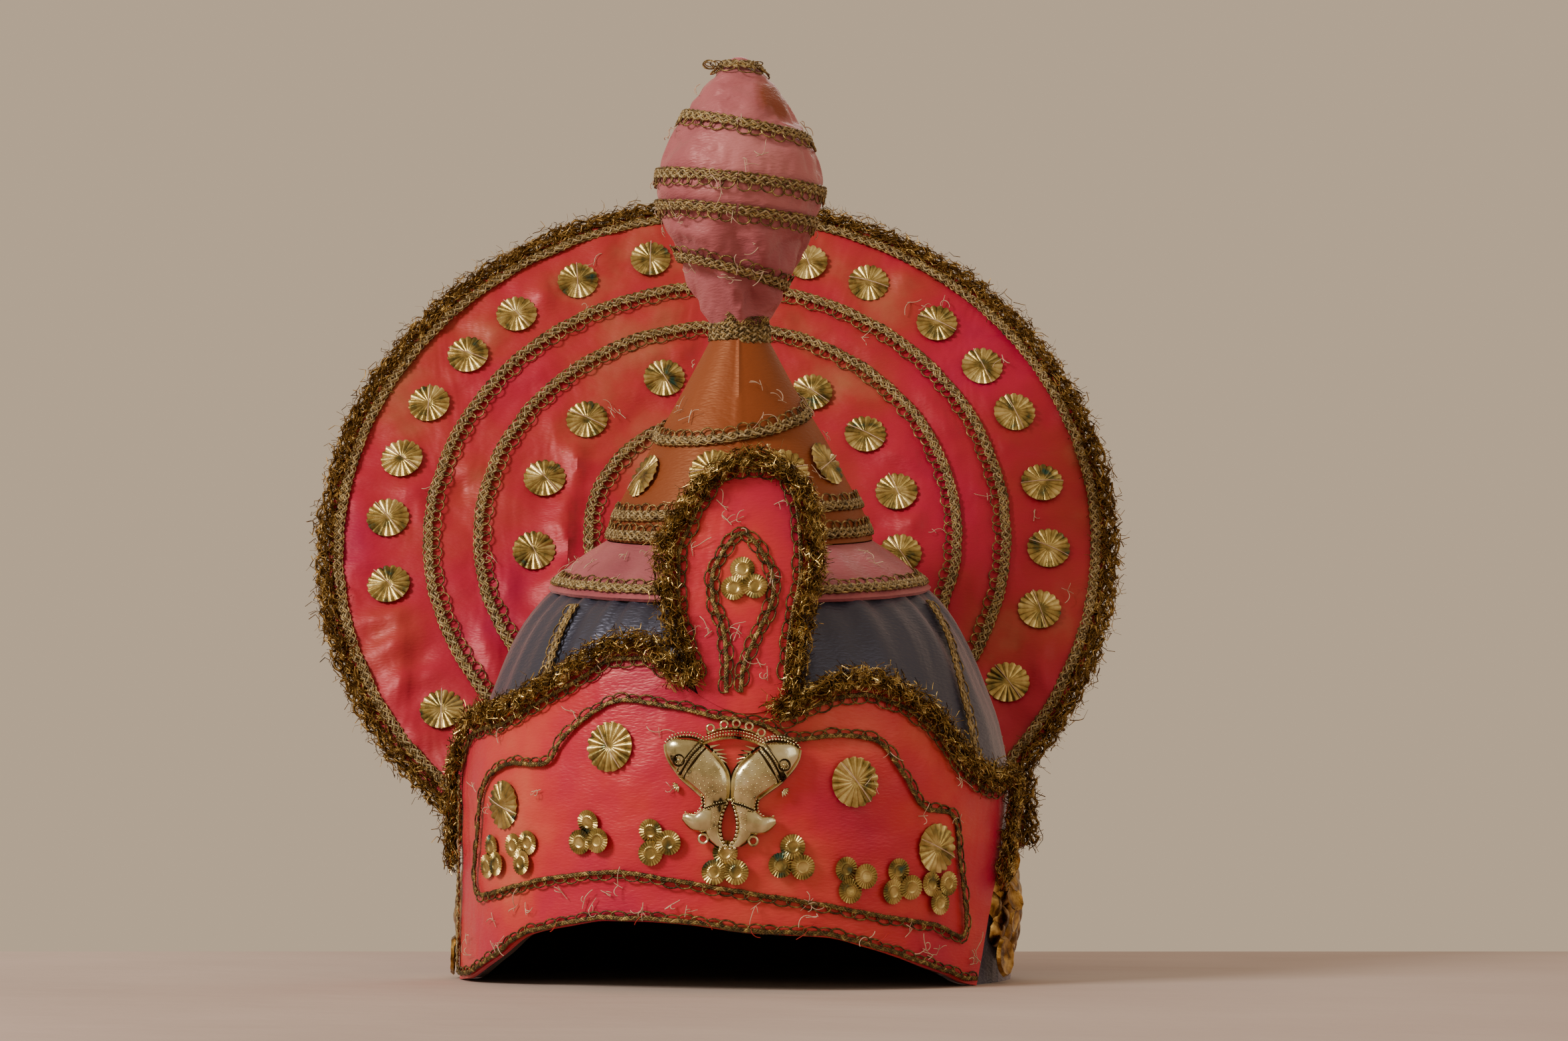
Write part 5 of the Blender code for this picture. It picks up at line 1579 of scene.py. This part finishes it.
for side in (1, -1):
    for line, gap, radius in FISH_BEADS:
        for spot in walk(line, gap):
            ball(spot, radius)
    for k in range(9):
        for u in np.arange(0.16 + 0.06 * (k % 2), 0.9, 0.13):
            ball(body_skin(np.array(u), np.array(0.47 + 0.048 * k)), 0.36)
    for k in range(4):
        for u in np.arange(0.2 + 0.07 * (k % 2), 0.85, 0.16):
            ball(tail_skin(np.array(u), np.array(0.12 + 0.11 * k)), 0.34)
    for turn in 2 * math.pi * np.arange(11) / 11:
        ball((EYE[0] + 1.3 * math.cos(turn), EYE[1] + 1.3 * math.sin(turn), 3.75), 0.34)
    ball((*EYE, 3.7), 0.75)
    for k in range(5):
        turn = math.radians(-82 + 24 * k)
        centre = (17.6 + 1.4 * math.cos(turn), -0.8 + 1.4 * math.sin(turn), 0.9)
        ball(centre, 0.5)
        bpy.ops.transform.resize(value=(2.6, 0.85, 1.0))
        bpy.ops.transform.rotate(value=-turn, orient_axis="Z", center_override=centre)
    for foot, tip in FISH_SPIKES:
        spike(Vector((*foot, 1.6)), Vector((*tip, 1.1)))
    eyelet(8.5, -18.5, 1.5, 0.5)
    keep_part(side, joined("fish_beads"))
    rims = [Yarn(walk(line, 0.6), 0.38, 0) for line in FISH_RIMS]
    rims += [Yarn(walk(line, 0.6), radius, 1) for line, radius in FISH_SHADED_GROOVES]
    keep_part(side, yarns_to_mesh("fish_rims", rims, (pale_gold, oxide_and_painted_shade)))

for x, y in ((-7.8, 19.0), (-3.2, 20.4), (1.0, 20.9), (5.4, 20.2), (9.6, 18.3)):
    eyelet(x, y, 1.25, 0.45)
ARCH_BEADS = (
    (((-10.0, 15.6, 1.3), (-5.0, 17.6, 1.5), (0.5, 18.4, 1.6), (6.0, 17.6, 1.5),
      (10.4, 15.8, 1.3)), 0.46),
    (((-10.0, 14.7, 1.6), (-5.0, 16.6, 1.8), (0.5, 17.3, 1.9), (6.0, 16.6, 1.8),
      (10.4, 14.9, 1.6)), 0.46),
    (((-2.4, -21.2, 1.2), (0.0, -21.6, 1.4), (2.4, -21.2, 1.2)), 0.55),
)
ARCH_RIMS = (
    ((-10.2, 13.7, 1.3), (-5.0, 15.5, 1.5), (0.5, 16.2, 1.5), (6.0, 15.5, 1.5), (10.6, 13.9, 1.3)),
    ((-9.0, 17.0, 0.9), (-4.5, 18.7, 0.9), (0.6, 19.2, 0.9), (5.6, 18.6, 0.9), (9.6, 16.8, 0.9)),
)
for line, radius in ARCH_BEADS:
    for spot in walk(line, radius * 2.05):
        ball(spot, radius)
keep_part(1, joined("fish_arch"))
arch = [Yarn(walk(line, 0.6), 0.5, 0) for line in ARCH_RIMS]
keep_part(1, yarns_to_mesh("fish_arch_rims", arch, (pale_gold,)))

bpy.ops.object.select_all(action="DESELECT")
for part in fish_parts:
    part.select_set(True)
bpy.context.view_layer.objects.active = fish_parts[0]
bpy.ops.object.join()
fish = bpy.context.object
fish.name = "twin_fish_stamping"
hand_over(fish, "pale_gold", "twin_fish", smooth=45)

# %% [markdown]
# ## Rosettes
# At each end of the band sits a heap of cupped foil petals, laid over each other like scales. One
# petal is modelled from a flat circle; copies stand in rings, the inner rings steeper.

# %% One petal and two rosettes
petal = nested_rings("petal", 20, 1.0, (0.94, 0.8, 0.55, 0.28))
for vertex in petal.data.vertices:
    x, y, _ = vertex.co
    reach = math.hypot(x, y)
    flute = 0.04 * math.cos(9 * math.atan2(y, x)) * reach**2
    vertex.co = (x, 1.15 * y, 0.30 * (1 - reach**2) + flute)
thicken(petal, 0.05)
PETAL = taken_apart(petal)
PETAL_RINGS = (
    (16.0, 12, 5.0, 0.25, 0.2), (12.5, 10, 5.2, 0.45, 1.2), (8.6, 8, 4.8, 0.65, 2.2),
    (4.6, 5, 4.2, 0.8, 3.2), (0.0, 1, 4.2, 0.0, 4.6),
)
UPWARDS = np.array([0.0, 0.0, 1.0])


def petal_heap(name, azimuth, height, seed, node):
    """Rings of petals; a ring is its radius, count, petal size, steepness and lift, in mm."""
    draw = np.random.default_rng(seed)
    seat = one_place(cap_radius, azimuth, height, 0.0010)
    shape, petal_faces = PETAL
    cupped = np.abs(shape[:, 2:]) * 1.2 * UPWARDS
    points = []
    for radius, count, size, steep, lift in PETAL_RINGS:
        for k in range(count):
            turn = 2 * math.pi * (k + 0.5 * (count % 4 == 2)) / count + draw.normal(0, 0.05)
            tilt = steep + draw.normal(0, 0.08)
            ahead = np.array([math.cos(turn), math.sin(turn), 0.0])
            sideways = np.array([-math.sin(turn), math.cos(turn), 0.0])
            long = unit(ahead * math.cos(tilt) - 0.45 * math.sin(tilt) * UPWARDS)
            centre = ahead * radius * draw.uniform(0.94, 1.04) + lift * 0.75 * UPWARDS
            scale = size * draw.uniform(0.92, 1.08)
            leaf = shape[:, :1] * sideways + shape[:, 1:2] * long + cupped
            points.append(centre + scale * leaf)
    across, up, out = np.concatenate(points).T / 1000
    placed = around_place(seat, across, up, out - 0.9 * across**2 / (2 * CAP_RADIUS))
    every_face = repeat_faces(petal_faces, len(shape), len(points))
    obj = new_object(name, placed, every_face, copper_gold)
    outward(obj)
    return hand_over(obj, "copper_gold", node, smooth=40)


petal_heap("rosette_right_petals", 73.0, 0.22 * BAND_HEIGHT, 31, "rosette_right")
petal_heap("rosette_left_petals", -92.5, 0.177 * BAND_HEIGHT, 33, "rosette_left")

SEQUIN = stamped(
    "sequin", 0.0043, 10, (0.92, 0.7, 0.4, 0.12), lambda s: 0.0009 * s * s, 0.0, 0.0003
)
BOSS = stamped(
    "boss", 0.0068, 10, (0.96, 0.88, 0.8, 0.55, 0.3, 0.12),
    lambda s: hump(s, 0.86, 0.1, 0.0012) + 0.0010 * (1 - s) - hump(s, 0.0, 0.16, 0.0016),
    0.0001, 0.0004,
)
heights = BAND_HEIGHT * np.array([0.40, 0.345, 0.29, 0.235, 0.18])
lifts = 0.0045 + 0.0004 * np.arange(5)
column = on_crown(cap_radius, np.radians([66.5, 67.5, 66.0, 67.5, 66.5]), heights, lifts)
copies("rosette_sequins", SEQUIN, column, copper_gold, "copper_gold", tilts=0.25, seed=51)
heights = BAND_HEIGHT * np.array([0.075, 0.065])
bosses = on_crown(cap_radius, np.radians([64.0, -84.0]), heights, 0.0042)
copies("rosette_bosses", BOSS, bosses, copper_gold, "copper_gold", tilts=0.1, seed=52)

# %% [markdown]
# ## Stitches and thread ends
# Every disc is held by one stitch across it, and the sewer left the ends of each knot on the cloth.
# A loose end is a line that wanders in short steps; its heading drifts, so it curls.

# %% Stitches and thread ends
def stitch(place, reach, angle, rise):
    """A thread laid over a disc from rim to rim."""
    s = np.linspace(-1, 1, 7)
    x, y = s * reach * math.cos(angle), s * reach * math.sin(angle)
    return around_place(place, x, y, rise * (1 - 0.5 * s**2))


def loose_end(draw, place, length, lift):
    """A curl of thread that starts at a knot and lies on the cloth."""
    heading = draw.uniform(0, 2 * math.pi)
    bend = draw.normal(0, 0.09)
    spot = np.zeros(2)
    points = []
    steps = 8
    for k in range(steps):
        t = k / (steps - 1)
        points.append(around_place(place, *spot, 0.0004 + lift * math.sin(2.6 * t)))
        bend += draw.normal(0, 0.11)
        heading += bend
        spot = spot + length / steps * np.array([math.cos(heading), math.sin(heading)])
    points = np.array(points)
    points[:, 2] = np.maximum(points[:, 2], 0.0005)
    return points


def bit_of(draw, place):
    """A knot with two ends beside a short stitch."""
    made = [stitch(place, draw.uniform(0.001, 0.003), draw.uniform(0, math.pi), 0.0005)]
    for _ in range(2):
        length = draw.triangular(0.002, 0.003, 0.0095)
        made.append(loose_end(draw, place, length, draw.uniform(0.0003, 0.0018)))
    return made


def place_of(surface, u, v, lift=0.0004):
    return surface(np.array([u]), np.array([v]), lift)


draw = np.random.default_rng(41)
stitches = []
for radius, angle in zip(field_radius, field_angle):
    seat = place_of(halo_turn, radius, angle, 0.0003)
    stitches.append(stitch(seat, DISC_RADIUS * 1.02, draw.normal(-0.9, 0.5), 0.0022))
for seats, angle, spread in ((cone_seats, 0.2, 0.3), (band_seats, -0.8, 0.3)):
    for seat in seats:
        stitches.append(stitch(seat, DISC_RADIUS, draw.normal(angle, spread), 0.0024))

bits = []
for _ in range(48):
    u = draw.uniform(0.03, 0.97)
    v = draw.choice([draw.uniform(0.03, 0.16), draw.uniform(0.5, 0.96)])
    bits += bit_of(draw, place_of(band_place, u, v))
for _ in range(14):
    u = draw.uniform(0.15, 0.85)
    bits += bit_of(draw, place_of(plaque_place, u, draw.uniform(0.1, 0.9)))
for radius_at, foot, low, high, count in (
    (cone_radius, CONE_FOOT, 0.010, 0.066, 12), (spindle_radius, SPINDLE_FOOT, 0.008, 0.088, 22),
    (collar_radius, COLLAR_FOOT, 0.004, 0.014, 14), (cap_radius, 0.0, 0.075, 0.135, 5),
):
    for _ in range(count):
        azimuth = draw.uniform(-100, 100)
        height = draw.uniform(foot + low, foot + high)
        bits += bit_of(draw, one_place(radius_at, azimuth, height, 0.0008))
for _ in range(22):
    radius = draw.uniform(0.35, 0.95) * HALO_RADIUS
    bits += bit_of(draw, place_of(halo_turn, radius, draw.uniform(-1.9, 1.9)))
lines = [Yarn(line, 0.00020, 0) for line in stitches]
lines += [Yarn(line, draw.uniform(0.0001, 0.00017), 0) for line in bits]
for _ in range(7):
    place = place_of(band_place, draw.uniform(0.1, 0.9), 0.03)
    lines.append(Yarn(loose_end(draw, place, 0.006, 0.001), 0.00013, 1))
sew_on("thread_ends", lines, finishes=(sewing_thread, red_thread))

frayed = []
turn = np.linspace(0.3, 2 * math.pi - 0.1, 16)
tip_height = SPINDLE_FOOT + 0.95 * SPINDLE_HEIGHT
for azimuth in (-95, -78, -64, -50, 40, 150, 200):
    middle = one_place(spindle_radius, azimuth, tip_height, 0.0016)
    size = draw.uniform(0.0014, 0.0030)
    tilt = draw.normal(0, 0.5)
    aside, away = size * np.sin(turn), size * (1 - np.cos(turn))
    up = aside * math.sin(tilt) - 0.3 * away
    loop = around_place(middle, aside * math.cos(tilt), up, 0.7 * away)
    frayed.append(Yarn(loop, 0.00024, 0))
sew_on("tip_frayed_loops", frayed, finishes=(gold_thread,))

# %% [markdown]
# ## Floor
# The table is a pale, rough cloth with soft creases, which ends a short way behind the crown.

# %% Floor
floor_material, tree, shader, coords = new_material("table_cloth")
tone = add_noise(tree, coords, 3.0, 4.0)
creases = add_noise(tree, coords, 6.0, 6.0, (1.0, 2.0, 1.0))
set_up(tree, shader, {
    "Base Color": add_ramp(tree, tone, ((0.3, 174, 153, 142), (0.7, 192, 172, 161))),
    "Normal": add_bump(tree, creases, 0.3, 0.02),
}, Roughness=0.9)
bpy.ops.object.select_all(action="DESELECT")
bpy.ops.mesh.primitive_plane_add(size=1.0, location=(0.0, -0.60, 0.0))
floor = bpy.context.object
floor.name = "table"
bpy.ops.transform.resize(value=(3.2, 1.6, 1.0))
bpy.ops.object.transform_apply(location=True, rotation=True, scale=True)
floor.data.materials.append(floor_material)

# %% [markdown]
# ## Light and camera
# One soft lamp stands to the front and left, a weaker one fills the right and a third lifts the
# rim of the halo from behind. The backdrop is the world's own colour. The camera stands where the
# photographer did: about a metre in front, low, and tilted up a little.

# %% Light and camera
world = bpy.context.scene.world or bpy.data.worlds.new("studio")
bpy.context.scene.world = world
world.use_nodes = True
background = world.node_tree.nodes["Background"]
background.inputs["Color"].default_value = srgb(194, 172, 146)
background.inputs["Strength"].default_value = 1.05


def soft_lamp(name, place, aim, size, power, colour):
    lamp = bpy.data.lights.new(name, "AREA")
    lamp.size = size
    lamp.energy = power
    lamp.color = colour
    obj = bpy.data.objects.new(name, lamp)
    obj.location = place
    obj.rotation_euler = (Vector(aim) - Vector(place)).to_track_quat("-Z", "Y").to_euler()
    bpy.context.scene.collection.objects.link(obj)


soft_lamp("key", (-1.25, -0.95, 1.05), (0, 0, 0.15), 0.45, 29.0, (1.0, 0.95, 0.88))
soft_lamp("fill", (1.3, -1.0, 0.7), (0, 0, 0.15), 1.0, 3.0, (1.0, 0.96, 0.9))
soft_lamp("rim", (0.2, 1.3, 1.3), (0, 0, 0.2), 0.8, 6.0, (1.0, 0.97, 0.92))

SENSOR = 36.0
FOCAL_PIXELS, PHOTO_PIXELS = 3540, 2000
PHOTO_TILT = 6.4
camera_data = bpy.data.cameras.new("photo_view")
camera_data.sensor_width = SENSOR
camera_data.lens = SENSOR * FOCAL_PIXELS / PHOTO_PIXELS
camera_data.clip_start = 0.01
camera = bpy.data.objects.new("photo_view", camera_data)
camera.location = AXIS + np.array([0.016, -1.015, 0.052])
camera.rotation_euler = (math.radians(90 + PHOTO_TILT), 0.0, 0.0)
bpy.context.scene.collection.objects.link(camera)
bpy.context.scene.camera = camera
